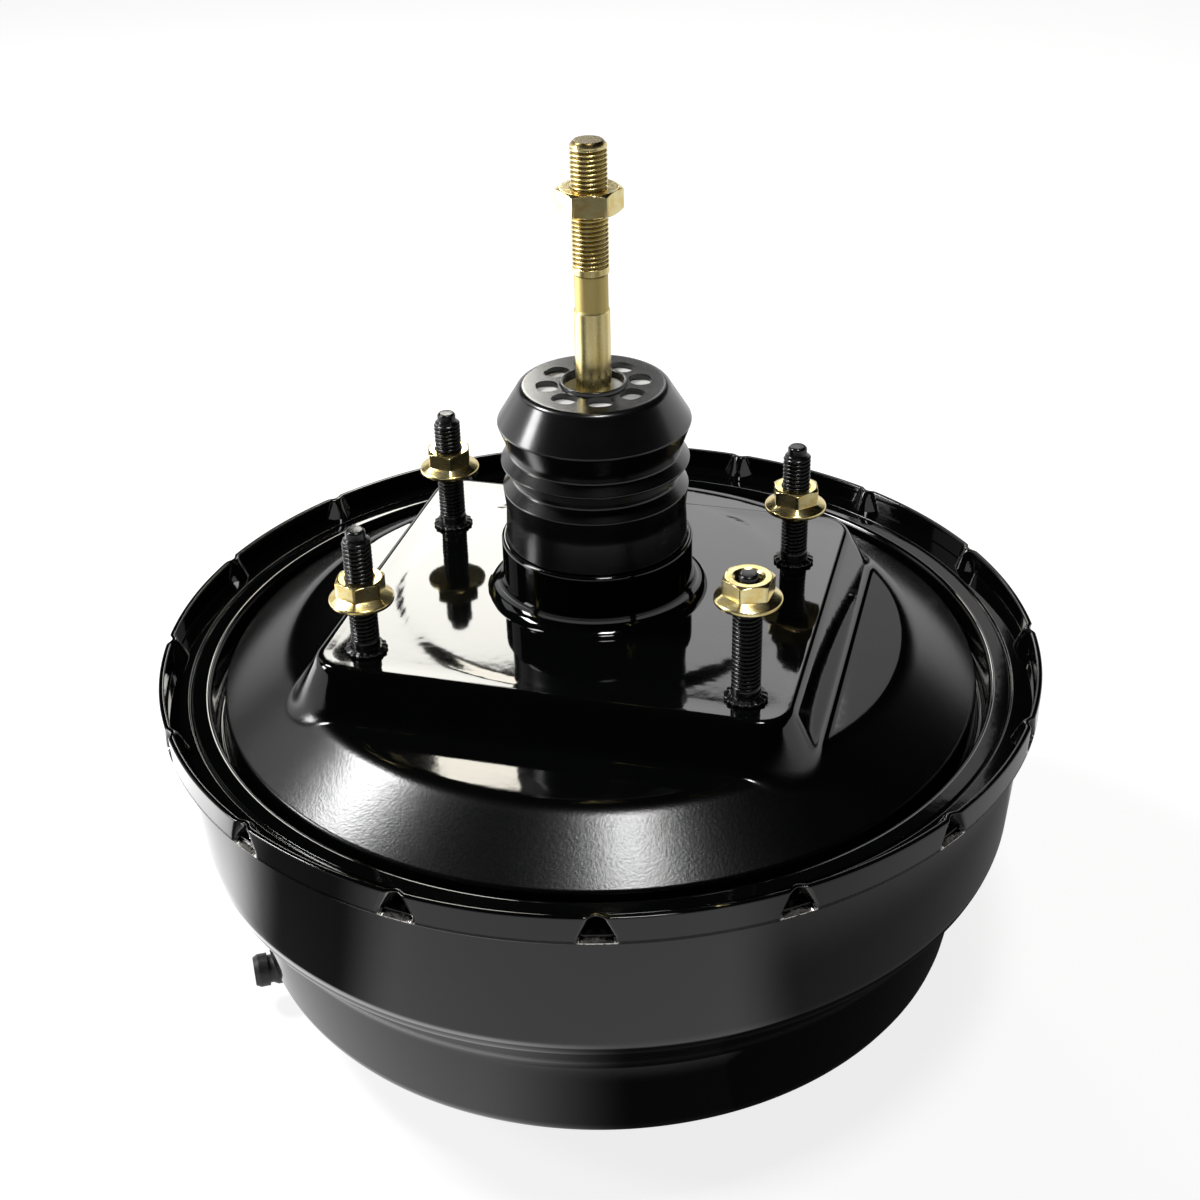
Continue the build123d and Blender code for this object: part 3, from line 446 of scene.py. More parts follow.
# ---------------------------------------------------------------- finishes
def enamel():
    """Black stoving enamel: a clear hard gloss with the faint texture of a dipped coat.

    On the cone, where the sheet was drawn, the gloss is softer and grainy. The attribute bare
    marks the sheared feet of the crimps, where some steel shows through.
    """
    shell, _, finish = sizes()
    look = Look("black_enamel")
    peel = look.noise(240, 1.5)
    grit = look.noise(1300, 3.0, 0.6)
    x, y, z = look.axes()
    away = (x * x + y * y) ** 0.5
    top, foot = shell.plateau_r, shell.cone_r
    formed = away.clamp(top - 3.4 * MM, top + 2.6 * MM)
    formed = formed * (1 - away.clamp(foot - 0.3 * MM, foot + 1.2 * MM))
    formed = formed * z.clamp(70 * MM, 75 * MM)  # nothing of the front shell
    tint = look.blend(look.noise(38, 2) * 0.6, finish.enamel, [c * 1.7 for c in finish.enamel])
    rough = 0.035 + 0.03 * look.noise(70, 3) + formed * (0.13 + 0.07 * grit)
    normal = look.bump(peel, 0.010 * MM)
    normal = look.bump(grit, 0.030 * MM, 0.05 + 0.95 * formed, normal)
    bare = look.node("ShaderNodeAttribute", {"attribute_name": "bare"}, out="Fac")
    metal = (bare * look.noise(900, 3)).clamp(0.22, 0.5)
    tint = look.blend(metal, tint, (0.62, 0.60, 0.56))
    rough = rough + 0.16 * metal
    return look.finish(
        Base_Color=tint, Metallic=metal, Roughness=rough, Normal=normal, Specular_IOR_Level=0.5
    )


def zinc():
    """Yellow passivated zinc: warm metal, with straw and rose clouds and fine turning marks."""
    _, _, finish = sizes()
    look = Look("yellow_zinc")
    base = np.array(finish.zinc)
    tint = look.blend(
        look.noise(330, 3).clamp(0.35, 0.7), tuple(base), tuple(base * (0.93, 0.80, 0.55))
    )
    tint = look.blend(
        look.noise(900, 2).clamp(0.62, 0.8) * 0.5, tint, tuple(base * (1.12, 1.2, 1.45))
    )
    grain = look.noise(500, 2, place=look.stretched(1, 1, 9))
    return look.finish(
        Base_Color=tint,
        Metallic=1.0,
        Roughness=0.16 + 0.10 * grain,
        Normal=look.bump(grain, 0.0035 * MM),
    )


def dark_steel():
    """Black phosphated steel of the studs, oily, with specks of bare metal."""
    look = Look("dark_steel")
    worn = look.noise(1500, 3).clamp(0.58, 0.72)
    return look.finish(
        Base_Color=look.blend(worn * 0.5, (0.004, 0.004, 0.004), (0.08, 0.08, 0.08)),
        Metallic=0.1 + 0.5 * worn,
        Roughness=0.17 + 0.12 * look.noise(800, 2),
        Normal=look.bump(look.noise(3200, 2), 0.008 * MM),
    )


def rubber(name, rough=0.36, coat=0.0):
    """Moulded black rubber, satin, with a fine skin, faint moulding rings and a waxy coat."""
    _, _, finish = sizes()
    look = Look(name)
    skin = look.noise(1500, 3)
    rings = look.noise(700, 1, place=look.stretched(0.02, 0.02, 1))
    tint = look.blend(look.noise(60, 3), finish.rubber, [c * 1.6 for c in finish.rubber])
    normal = look.bump(rings, 0.004 * MM)
    return look.finish(
        Base_Color=tint,
        Roughness=rough - 0.05 + 0.10 * look.noise(140, 3),
        Normal=look.bump(skin, 0.009 * MM, normal=normal),
        Specular_IOR_Level=0.5,
        Coat_Weight=coat,
        Coat_Roughness=0.12,
    )


def felt(name, tone):
    """Pressed fibre: pale, matt and finely tangled."""
    look = Look(name)
    fibre = look.noise(1900, 4, 0.7)
    lump = look.noise(420, 2)
    tint = look.blend(0.35 * lump + 0.45 * fibre, tone, [c * 0.75 for c in tone])
    normal = look.bump(lump, 0.10 * MM)
    return look.finish(
        Base_Color=tint,
        Roughness=0.95,
        Normal=look.bump(fibre, 0.16 * MM, normal=normal),
    )


def plastic():
    """Glass-filled black nylon, faintly grained."""
    look = Look("black_plastic")
    grain = look.noise(1300, 2)
    tint = look.blend(look.noise(90, 2), (0.012, 0.012, 0.013), (0.022, 0.022, 0.023))
    return look.finish(
        Base_Color=tint, Roughness=0.42 + 0.14 * grain, Normal=look.bump(grain, 0.02 * MM)
    )


def steel(name, tone, rough):
    """Plain pressed or turned steel, brushed round the axis, with an oily bloom."""
    look = Look(name)
    grain = look.noise(900, 2, place=look.stretched(0.15, 0.15, 3))
    bloom = look.noise(120, 3)
    return look.finish(
        Base_Color=look.blend(bloom * 0.7, tone, [c * 0.6 for c in tone]),
        Metallic=1.0,
        Roughness=rough + 0.2 * grain,
        Normal=look.bump(grain, 0.008 * MM),
    )


FINISHES = {
    "black_enamel": enamel,
    "yellow_zinc": zinc,
    "dark_steel": dark_steel,
    "plain_steel": lambda: steel("plain_steel", (0.55, 0.55, 0.54), 0.30),
    "spring_steel": lambda: steel("spring_steel", (0.30, 0.30, 0.31), 0.34),
    "black_rubber": lambda: rubber("black_rubber"),
    "boot_rubber": lambda: rubber("boot_rubber", 0.23, 0.25),
    "black_plastic": plastic,
    "white_felt": lambda: felt("white_felt", tuple(sizes()[2].felt)),
    "grey_foam": lambda: felt("grey_foam", (0.25, 0.25, 0.25)),
}


def finish_of(slot):
    """The material of a slot of the record, made once."""
    return bpy.data.materials.get(slot + "_finish") or FINISHES[slot]()


# ---------------------------------------------------------------- pressed shells
def crimp_field(angle, shell):
    """Across each crimp, 0 at its middle to 1 at its sides, by the distance round the rim."""
    step = TURN / shell.crimps
    away = np.mod(angle - shell.crimp_phase + step / 2, step) - step / 2
    return np.abs(away) * RIM_R / shell.crimp_half


def crimp_columns(shell, fine=24, coarse=12):
    """Angles round the rim, close together across each crimp and wide apart between them."""
    step = TURN / shell.crimps
    zone = 1.25 * shell.crimp_half / RIM_R
    across = np.linspace(-zone, zone, fine, endpoint=False)
    between = np.linspace(zone, step - zone, coarse, endpoint=False)
    centres = shell.crimp_phase + step * np.arange(shell.crimps)
    return (centres[:, None] + np.concatenate([across, between])).ravel()


def front_profile(shell):
    """Front shell from the pilot hole out to the band's top edge and down inside it."""
    band_z = RIM_Z - 9.65 * MM
    return outline(
        [
            (PILOT_R, 0),
            (DISH_R, 0),
            (DISH_R + 6 * MM, RING_Z),
            (108.8 * MM, RING_Z),  # foot of the lower drum
            (114.3 * MM, 28 * MM),  # waist
            (124 * MM, 41.5 * MM),  # shoulder
            (126.5 * MM, band_z - 1.2 * MM),  # top of the upper drum
            (RIM_R - 2.6 * MM, band_z),
            (RIM_R, band_z),  # foot of the crimped band
            (RIM_R, RIM_Z),
            (RIM_R - shell.wall, RIM_Z),
            (RIM_R - shell.wall, band_z + 3 * MM),
        ],
        np.array([4, 4, 8, 9, 12, 1.2, 0.5, 2.4, 0.45, 0.45]) * MM,
    )


class BOOSTER_OT_front_shell(bpy.types.Operator):
    """Front shell: a stepped drum whose top edge is crimped over the rear shell"""

    bl_idname = "booster.front_shell"
    bl_label = "Front shell"

    def execute(self, context):
        """The profile is carried round the axis. In the band, a point moves inwards by the
        crimp's depth at its height times a power of 1 - s^2, where s is its distance from the
        nearest crimp's middle over the crimp's half width there. Depth and width grow, and the
        power falls, from the edge down to the sheared foot. Below it nothing is pressed in, which
        opens the pocket under each crimp."""
        shell, _, _ = sizes()
        outer = self.with_rows(front_profile(shell), shell)
        inner = outline(
            [
                (RIM_R - shell.wall, RIM_Z - 7.5 * MM),
                (124.6 * MM, RIM_Z - 12 * MM),
                (122.2 * MM, 44 * MM),
                (112.4 * MM, 29 * MM),
                (107 * MM, RING_Z + shell.wall),
                (DISH_R + 6.6 * MM, RING_Z + shell.wall),
                (DISH_R + 0.6 * MM, shell.wall),
                (PILOT_R, shell.wall),
            ],
            np.array([2, 6, 5, 5, 4, 4]) * MM,
            steps=2,
        )
        profile = np.concatenate([outer, inner])
        angle = crimp_columns(shell)
        r = np.repeat(profile[:, :1], len(angle), axis=1)
        z = np.repeat(profile[:, 1:2], len(angle), axis=1)
        s = crimp_field(angle, shell)[None]
        drop = np.clip((RIM_Z - z) / (RIM_Z - CRIMP_Z), 0, 1)
        depth = shell.crimp_edge + (shell.crimp_depth - shell.crimp_edge) * drop**0.8
        spread = 0.5 + 0.5 * drop
        press = np.maximum(1 - (s / spread) ** 2, 0) ** (1.7 - 0.9 * drop)
        in_band = (z > CRIMP_Z) & (r > RIM_R - 2 * shell.wall)
        grid = around(r - np.where(in_band, depth * press, 0), z, angle)
        bare = np.exp(-(((z - CRIMP_Z) / (0.5 * MM)) ** 2)) * (press > 0.05)
        solid(
            "front_shell_pressing",
            [patch(grid, loop=True)],
            "housing",
            "black_enamel",
            "front_shell",
            crease=50,
            marks={"bare": bare},
        )
        return {"FINISHED"}

    def with_rows(self, profile, shell):
        """The profile with close rows up the band, and a pair of rows at the crimps' foot."""
        start = np.flatnonzero((profile[:, 0] > RIM_R - 0.01 * MM))[0]
        outside = np.concatenate(
            [[CRIMP_Z - 0.3 * MM, CRIMP_Z - 0.02 * MM], np.linspace(CRIMP_Z, RIM_Z - 0.8 * MM, 9)]
        )
        up = np.stack([np.full_like(outside, RIM_R), outside], axis=1)
        down = up[::-1] - (shell.wall, 0)
        top = profile[start:][profile[start:, 1] > RIM_Z - 0.7 * MM]
        return np.concatenate([profile[: start + 1], up, top, down, profile[-1:]])


def pad_reach(gap, angle, shell):
    """Distance from the axis, in each direction, to the pad's outline pushed out by gap.

    The outline is where the signed distance to a rounded rectangle equals gap; it is found by
    halving an interval on every ray at once.
    """
    near, far = np.full_like(angle, 5 * MM), np.full_like(angle, 160 * MM)
    for _ in range(34):  # halvings, to well below a nanometre
        middle = (near + far) / 2
        outside = pad_distance(middle * np.cos(angle), middle * np.sin(angle), shell) > gap
        near, far = np.where(outside, near, middle), np.where(outside, middle, far)
    return near


def cone_slope(shell):
    """Fall of the cone for each step outwards."""
    return shell.cone_drop / (shell.cone_r - shell.plateau_r)


def pad_distance(x, y, shell):
    """Signed distance from the pad's top outline, a rounded rectangle, negative inside."""
    corner = shell.pad_corner
    dx = np.abs(x) - (shell.pad_length / 2 - corner)
    dy = np.abs(y - shell.pad_shift) - (shell.pad_width / 2 - corner)
    outside = np.hypot(np.maximum(dx, 0), np.maximum(dy, 0))
    return outside + np.minimum(np.maximum(dx, dy), 0) - corner


def rear_height(x, y, shell):
    """Height of the rear shell's pad, plateau and cone over a point.

    The plateau and the cone meet in a soft minimum, the pad's top and its 30 degree draft in
    another, and the two forms in a soft maximum. A faint round step stands on the pad.
    """
    r = np.hypot(x, y)
    plateau_z = RIM_Z + shell.plateau_rise
    cone = plateau_z - cone_slope(shell) * (r - shell.plateau_r)
    base = soft_min(plateau_z, cone, 1.6 * MM)
    gap = pad_distance(x, y, shell)
    wall = PAD_Z - gap / np.tan(np.radians(30))
    boss = shell.boss_rise * (ease((shell.boss_r - r) / (5 * MM) + 0.5) - 1)
    pad = soft_min(PAD_Z, wall, shell.pad_edge) + boss * ease(-gap / (6 * MM))
    return soft_max(base, pad, shell.pad_foot)


class BOOSTER_OT_rear_shell(bpy.types.Operator):
    """Rear shell: neck, firewall pad, plateau, cone and the grooved flange"""

    bl_idname = "booster.rear_shell"
    bl_label = "Rear shell"

    columns: bpy.props.IntProperty(name="Columns", description="Points round it", default=512)

    def execute(self, context):
        """Rings run from the neck outwards: circles up the neck, then rings that pass from a
        circle to the pad's outline and back to a circle, all lifted onto rear_height, then
        circles through the channel and the flange, and a coarser skin back underneath."""
        shell, _, _ = sizes()
        angle = np.linspace(0, TURN, self.columns, endpoint=False)
        fillet = 4.8 * MM
        fillet_r = NECK_R + fillet
        neck = outline(
            [
                (NECK_R - shell.wall, PAD_Z - 2 * MM),
                (NECK_R - shell.wall, NECK_Z),
                (NECK_R, NECK_Z),
                (NECK_R, PAD_Z),
                (fillet_r + 1 * MM, PAD_Z),
            ],
            [0.4 * MM, 0.9 * MM, fillet],
            steps=7,
        )[:-1]
        cone_z = RIM_Z + shell.plateau_rise - shell.cone_drop
        start_r = 107 * MM  # circles take over from the formed rings on the cone
        bead_r = 121.55 * MM  # middle of the fine groove in the flange
        flange_r = 128.3 * MM
        channel = outline(
            [
                (start_r, cone_z + (shell.cone_r - start_r) * cone_slope(shell)),
                (shell.cone_r, cone_z),
                (shell.cone_r + 0.8 * MM, GROOVE_Z),
                (shell.cone_r + 3.0 * MM, GROOVE_Z),
                (shell.cone_r + 3.8 * MM, FLANGE_Z),
                (bead_r - 0.55 * MM, FLANGE_Z),
                (bead_r - 0.35 * MM, FLANGE_Z - 0.8 * MM),
                (bead_r + 0.35 * MM, FLANGE_Z - 0.8 * MM),
                (bead_r + 0.55 * MM, FLANGE_Z),
                (flange_r, FLANGE_Z),
                (flange_r, FLANGE_Z - shell.wall),
            ],
            np.array([1.6, 1.0, 1.0, 1.6, 0.2, 0.15, 0.15, 0.2, 0.3]) * MM,
            steps=4,
            hem=0.12 * MM,
        )[1:]
        gaps = np.arange(-4.2, 11.4, 0.6) * MM  # from the pad's top edge to past its foot
        walls = np.array([pad_reach(gap, angle, shell) for gap in gaps])
        inward = self.between(np.full_like(angle, fillet_r), walls[0], 16)
        outward = self.between(walls[-1], np.full_like(angle, start_r), 30)
        reach = np.concatenate([inward, walls, outward])
        x, y = reach * np.cos(angle), reach * np.sin(angle)
        formed = np.stack([x, y, rear_height(x, y, shell)], axis=-1)
        under = outline(
            [
                (126.5 * MM, FLANGE_Z - shell.wall),
                (shell.cone_r + 6 * MM, GROOVE_Z - shell.wall),
                (shell.cone_r - 1 * MM, GROOVE_Z - shell.wall),
                (shell.cone_r - 3 * MM, cone_z - 3 * MM),
                (90 * MM, RIM_Z + 2 * MM),
                (40 * MM, RIM_Z + 2.6 * MM),
                (NECK_R - shell.wall, RIM_Z + 3 * MM),
            ],
            np.full(5, 0.6 * MM),
            steps=1,
        )
        grid = np.concatenate(
            [
                turned(neck, self.columns),
                formed[1:],
                turned(channel, self.columns),
                turned(under, self.columns),
            ]
        )
        solid(
            "rear_shell_pressing",
            [patch(grid, loop=True)],
            "housing",
            "black_enamel",
            "rear_shell",
            crease=60,
        )
        return {"FINISHED"}

    def between(self, inner, outer, rows):
        """Rings spaced evenly from one to the other, both ends left out."""
        share = np.linspace(0, 1, rows + 2)[1:-1, None]
        return inner + (outer - inner) * share


# ---------------------------------------------------------------- threads, studs and nuts
def thread_depth(z, angle, pitch, start, end):
    """Depth of a screw thread over height and angle.

    It follows a rounded triangle wave of z / pitch - angle / 360, 0.6 pitch deep, and fades to
    nothing within a pitch of each end of the thread.
    """
    wave = np.mod(z / pitch - angle / TURN, 1)
    groove = ease(np.abs(wave - 0.5) * 2.6 - 0.15)
    fade = ease((z - start) / pitch) * ease((end - z) / pitch)
    return 0.6 * pitch * groove * fade


def screw(profile, pitch, start, end, columns=40, steps=9):
    """A turned profile, given from its foot upwards, with a thread between two heights.

    There the profile is sampled at even steps of the pitch, and the thread's depth is taken off.
    """
    profile = np.array(profile, float)
    heights = np.arange(start, end, pitch / steps)
    inside = np.stack([np.interp(heights, profile[:, 1], profile[:, 0]), heights], axis=1)
    rows = np.concatenate(
        [profile[profile[:, 1] < start], inside, profile[profile[:, 1] > end]]
    )
    angle = np.linspace(0, TURN, columns, endpoint=False)[None]
    r, z = rows[:, :1], rows[:, 1:2]
    return around(np.maximum(r - thread_depth(z, angle, pitch, start, end), 0), z, angle)


def stud(base_z, tip_z, fasteners):
    """A stud at the origin, from its base out to a dog point, upwards or downwards."""
    up = 1 if tip_z > base_z else -1
    mm = up * MM
    point_r = STUD_R - 1.25 * MM
    rows = [
        (0, base_z - 1.5 * mm),
        (STUD_R, base_z - 1.5 * mm),
        (STUD_R, tip_z - 3.4 * mm),
        (STUD_R - 0.1 * MM, tip_z - 3.2 * mm),
        (point_r, tip_z - 2.2 * mm),
        (point_r, tip_z - 0.6 * mm),
        (point_r - 0.5 * MM, tip_z - 0.05 * mm),
        (point_r - 0.9 * MM, tip_z),
        (0, tip_z),
    ]
    first, last = sorted([base_z + up * fasteners.stud_base, tip_z - 2.6 * mm])
    return screw(rows[::up], fasteners.stud_pitch, first, last)


def stud_collar(fasteners):
    """The low serrated collar that presses a firewall stud into the pad.

    Its radius swings by 3.5% with the cosine of 16 times the angle.
    """
    ring = outline(
        [
            (0, PAD_Z + 0.1 * MM),
            (fasteners.collar_r, PAD_Z + 0.1 * MM),
            (fasteners.collar_r, PAD_Z + 0.9 * MM),
            (STUD_R + 0.5 * MM, PAD_Z + 1.5 * MM),
            (0, PAD_Z + 2.0 * MM),
        ],
        np.array([0.1, 0.3, 0.2]) * MM,
        steps=3,
    )
    angle = np.linspace(0, TURN, 96, endpoint=False)[None]
    r, z = ring[:, :1], ring[:, 1:2]
    return around(r * (1 + 0.035 * np.cos(16 * angle) * (r > STUD_R)), z, angle)


class BOOSTER_OT_studs(bpy.types.Operator):
    """Threaded studs for the firewall and for the master cylinder"""

    bl_idname = "booster.studs"
    bl_label = "Studs"

    def execute(self, context):
        """Each stud is a profile carried round its axis, with the thread cut into it."""
        _, fasteners, _ = sizes()
        upper = stud(PAD_Z, high("firewall_studs").z, fasteners)
        lower = stud(0.0, low("master_cylinder_studs").z, fasteners)
        groups = [
            ("firewall_studs", [upper, stud_collar(fasteners)]),
            ("master_cylinder_studs", [lower]),
        ]
        for node, grids in groups:
            patches = [patch(grid + (*place, 0)) for place in stud_places(node) for grid in grids]
            solid(
                node.replace("studs", "threaded_studs"),
                patches,
                "housing",
                "dark_steel",
                node,
                crease=55,
            )
        return {"FINISHED"}


def hexagon(angle, flats):
    """Distance to a hexagon's side in each direction, its corners just softened.

    A high power mean of the cosines to the six sides stands for the greatest of them.
    """
    power = 60
    sides = np.arange(6)[:, None] * TURN / 6
    facing = np.maximum(np.cos(angle[None] - sides), 1e-3)
    return flats / 2 / (facing**power).sum(axis=0) ** (1 / power)


def nut_grid(flats, bore_r, foot_z, top_z, flange_r=None, turn=0.0):
    """A nut round the origin: rings up its bore-side foot, its six sides, chamfer and top.

    On the chamfer a ring is the smaller of the hexagon and a circle, which draws the curved
    edges that turning leaves on the corners.
    """
    angle = np.linspace(0, TURN, 144, endpoint=False)
    flat = hexagon(angle - turn, flats)
    corner_r = flats / 2 / np.cos(np.radians(30))
    face_r = flats / 2 - 0.15 * MM
    bevel = (corner_r - flats / 2) * 0.62

    def chamfer(share):
        """The nut's outline at that share of the chamfer, from the face out to the corners."""
        return np.minimum(flat, face_r + share * (corner_r + 0.1 * MM - face_r))

    rings = [(bore_r, top_z - 0.5 * MM), (bore_r, foot_z)]
    if flange_r:
        rim = outline(
            [
                (bore_r + 0.4 * MM, foot_z),
                (flange_r, foot_z),
                (flange_r, foot_z + 1.1 * MM),
                (flats / 2 + 0.3 * MM, foot_z + 2.6 * MM),
            ],
            np.array([0.3, 0.45]) * MM,
            steps=4,
        )
        rings += [*rim[:-1], (flat, foot_z + 2.55 * MM), (flat, foot_z + 2.75 * MM)]
    else:
        rings += [(bore_r + 0.6 * MM, foot_z), (face_r, foot_z)]
        rings += [(chamfer(t), foot_z + t * bevel) for t in np.linspace(0, 1, 7)]
    rings += [(chamfer(t), top_z - t * bevel) for t in np.linspace(1, 0, 9)]
    rings += [(face_r - 0.25 * MM, top_z), (bore_r + 0.7 * MM, top_z)]
    r = np.stack([np.broadcast_to(ring, angle.shape) for ring, _ in rings])
    return around(r, np.array([[z] for _, z in rings]), angle)


class BOOSTER_OT_nuts(bpy.types.Operator):
    """The flange nuts on the firewall studs"""

    bl_idname = "booster.nuts"
    bl_label = "Flange nuts"

    def execute(self, context):
        """Each nut is a column of rings, hexagons above and circles at the flange."""
        _, fasteners, _ = sizes()
        patches = []
        turns = np.radians([8, -6, 20, 14])  # as each happens to stand
        for place, foot, turn in zip(stud_places("firewall_studs"), fasteners.nut_places, turns):
            grid = nut_grid(
                fasteners.nut_flats,
                STUD_R - 0.35 * MM,
                PAD_Z + foot,
                PAD_Z + foot + fasteners.nut_height,
                fasteners.nut_flange,
                turn=turn,
            )
            patches.append(patch(grid + (*place, 0), loop=True))
        solid(
            "firewall_flange_nuts",
            patches,
            "housing",
            "yellow_zinc",
            "firewall_nuts",
            crease=32,
        )
        return {"FINISHED"}


# ---------------------------------------------------------------- rubber, felt and springs
def boot_profile(wall, windows_r):
    """The boot's skin from its windows' outer ring down outside, and back up inside."""
    top_z = BOOT_TOP_Z
    outer = outline(
        [
            (windows_r, top_z),
            (20.9 * MM, top_z),
            (27.4 * MM, top_z - 10.6 * MM),  # brim of the cap
            (24.2 * MM, top_z - 19.4 * MM),
            (26.9 * MM, top_z - 22.4 * MM),  # ridge
            (23.5 * MM, top_z - 27.2 * MM),
            (26.5 * MM, top_z - 30.6 * MM),  # rim of the cuff
            (25.8 * MM, top_z - 37 * MM),
            (26.2 * MM, NECK_Z + 0.05 * MM),  # foot of the cuff, on the neck
            (24.8 * MM, NECK_Z + 0.05 * MM),
            (24.8 * MM, NECK_Z - 3.0 * MM),
        ],
        np.array([2.4, 0.8, 1.0, 0.45, 1.1, 0.6, 12, 0.4, 0.4]) * MM,
        steps=7,
    )
    inner = outline(
        [
            (23.2 * MM, NECK_Z - 3.0 * MM),
            (24.4 * MM, NECK_Z + 4 * MM),
            (24.6 * MM, top_z - 31.6 * MM),
            (21.9 * MM, top_z - 27.4 * MM),
            (24.8 * MM, top_z - 22.6 * MM),
            (22.6 * MM, top_z - 19.2 * MM),
            (25.3 * MM, top_z - 11 * MM),
            (19.7 * MM, top_z - wall),
            (windows_r, top_z - wall),
        ],
        np.array([3, 0.8, 1.0, 0.8, 1.0, 0.8, 1.5]) * MM,
        steps=3,
    )
    return np.concatenate([outer, inner])


def window_wedge(middle, columns, inner_r, outer_r, window, z):
    """Rings of a wedge of the boot's top, from the wedge's outline to its window's edge.

    Each point of the outline is drawn towards the window along the straight line to it. The
    window's edge is a superellipse of power 2.6 round its own middle, given with its half sizes.
    """
    half = TURN / (2 * WINDOWS)
    t = np.linspace(-half, half, columns + 1)
    side = np.linspace(inner_r, outer_r, 7)
    r = np.concatenate(
        [np.full(columns, outer_r), side[:0:-1], np.full(columns, inner_r), side[:-1]]
    )
    turn = np.concatenate(
        [t[:-1], np.full(len(side) - 1, half), t[:0:-1], np.full(len(side) - 1, -half)]
    )
    x, y = r * np.cos(turn) - window[0], r * np.sin(turn)
    toward = np.arctan2(y, x)
    power = 2.6
    reach = np.abs(np.cos(toward) / window[1]) ** power
    reach = (reach + np.abs(np.sin(toward) / window[2]) ** power) ** (-1 / power)
    share = np.array([0, 0.35, 0.7, 0.93, 1.0])[:, None]
    x = x * (1 - share) + reach * np.cos(toward) * share + window[0]
    y = y * (1 - share) + reach * np.sin(toward) * share
    c, s = np.cos(middle), np.sin(middle)
    return np.stack([x * c - y * s, x * s + y * c, np.full_like(x, z)], axis=-1)


class BOOSTER_OT_boot(bpy.types.Operator):
    """Rubber boot on the neck, with the air windows in its top"""

    bl_idname = "booster.boot"
    bl_label = "Boot"

    def execute(self, context):
        """The bellows are one profile carried round. The top is eight wedges, each a set of
        rings between the wedge's outline and its window, above and below, joined by a wall."""
        wall, columns = 1.6 * MM, 32
        inner_r, outer_r = 9.6 * MM, 16.6 * MM
        skin = turned(boot_profile(wall, outer_r), WINDOWS * columns)
        lip = outline(
            [
                (inner_r, BOOT_TOP_Z),
                (9.3 * MM, BOOT_TOP_Z + 0.9 * MM),
                (8.4 * MM, BOOT_TOP_Z + 0.9 * MM),
                (8.4 * MM, BOOT_TOP_Z - wall),
                (inner_r, BOOT_TOP_Z - wall),
            ],
            np.array([0.3, 0.4, 0.3]) * MM,
            steps=4,
        )
        patches = [patch(skin), patch(turned(lip, WINDOWS * columns))]
        window = (13.1 * MM, 3.1 * MM, 3.7 * MM)
        for middle in TURN / WINDOWS * (np.arange(WINDOWS) + 0.5):
            above, below = (
                window_wedge(middle, columns, inner_r, outer_r, window, z)
                for z in (BOOT_TOP_Z, BOOT_TOP_Z - wall)
            )
            patches.append(patch(np.concatenate([above, below[::-1]])))
        piece = solid(
            "rubber_boot",
            patches,
            "housing",
            "boot_rubber",
            "boot",
            crease=50,
        )
        1 - travel("piston_stroke") / (BOOT_TOP_Z - NECK_Z)
        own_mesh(piece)
        return {"FINISHED"}


class BOOSTER_OT_springs(bpy.types.Operator):
    """The four coil springs"""

    bl_idname = "booster.springs"
    bl_label = "Springs"

    def execute(self, context):
        """A circle is carried along a helix; its last turns lie flat, as ground ends do."""
        check_centre = ((low("check_valve_spring") + high("check_valve_spring")) / 2)[:2]
        for node, body, joint, turns, wire, centre in [
            ("return_spring", "housing", "piston_stroke", 6, 1.6 * MM, (0, 0)),
            ("input_rod_spring", "power_piston", "plunger_travel", 6, 0.7 * MM, (0, 0)),
            ("control_valve_spring", "power_piston", None, 4, 0.5 * MM, (0, 0)),
            ("check_valve_spring", "housing", "check_valve_lift", 3, 0.4 * MM, check_centre),
        ]:
            foot, top = low(node), high(node)
            # The two round the rod end a little lower, clear of it when it tilts.
            top_z = top.z - (0.5 * MM if body == "power_piston" else 0)
            mean_r = (top.x - foot.x) / 2 - wire
            piece = solid(
                node + "_coil",
                [patch(self.coil(mean_r, wire, foot.z, top_z, turns, centre))],
                body,
                "spring_steel",
                node,
            )
            if joint:
                1 - travel(joint) / (top_z - foot.z)
                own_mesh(piece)
        return {"FINISHED"}

    def coil(self, mean_r, wire, foot, top, turns, centre, steps=40, sides=12):
        """Rings of the wire along its helix, with a pole at each end."""
        t = np.linspace(0, 1, turns * steps + 1)
        angle = TURN * turns * t
        flat = 0.75 / turns
        rise = np.clip((t - flat) / (1 - 2 * flat), 0, 1)
        z = foot + wire + rise * (top - foot - 2 * wire)
        round_wire = np.linspace(0, TURN, sides, endpoint=False)
        size = np.full_like(t, wire)
        size[[0, -1]] = 0
        out = mean_r + size[:, None] * np.cos(round_wire)
        return np.stack(
            [
                centre[0] + out * np.cos(angle)[:, None],
                centre[1] + out * np.sin(angle)[:, None],
                z[:, None] + size[:, None] * np.sin(round_wire),
            ],
            axis=-1,
        )


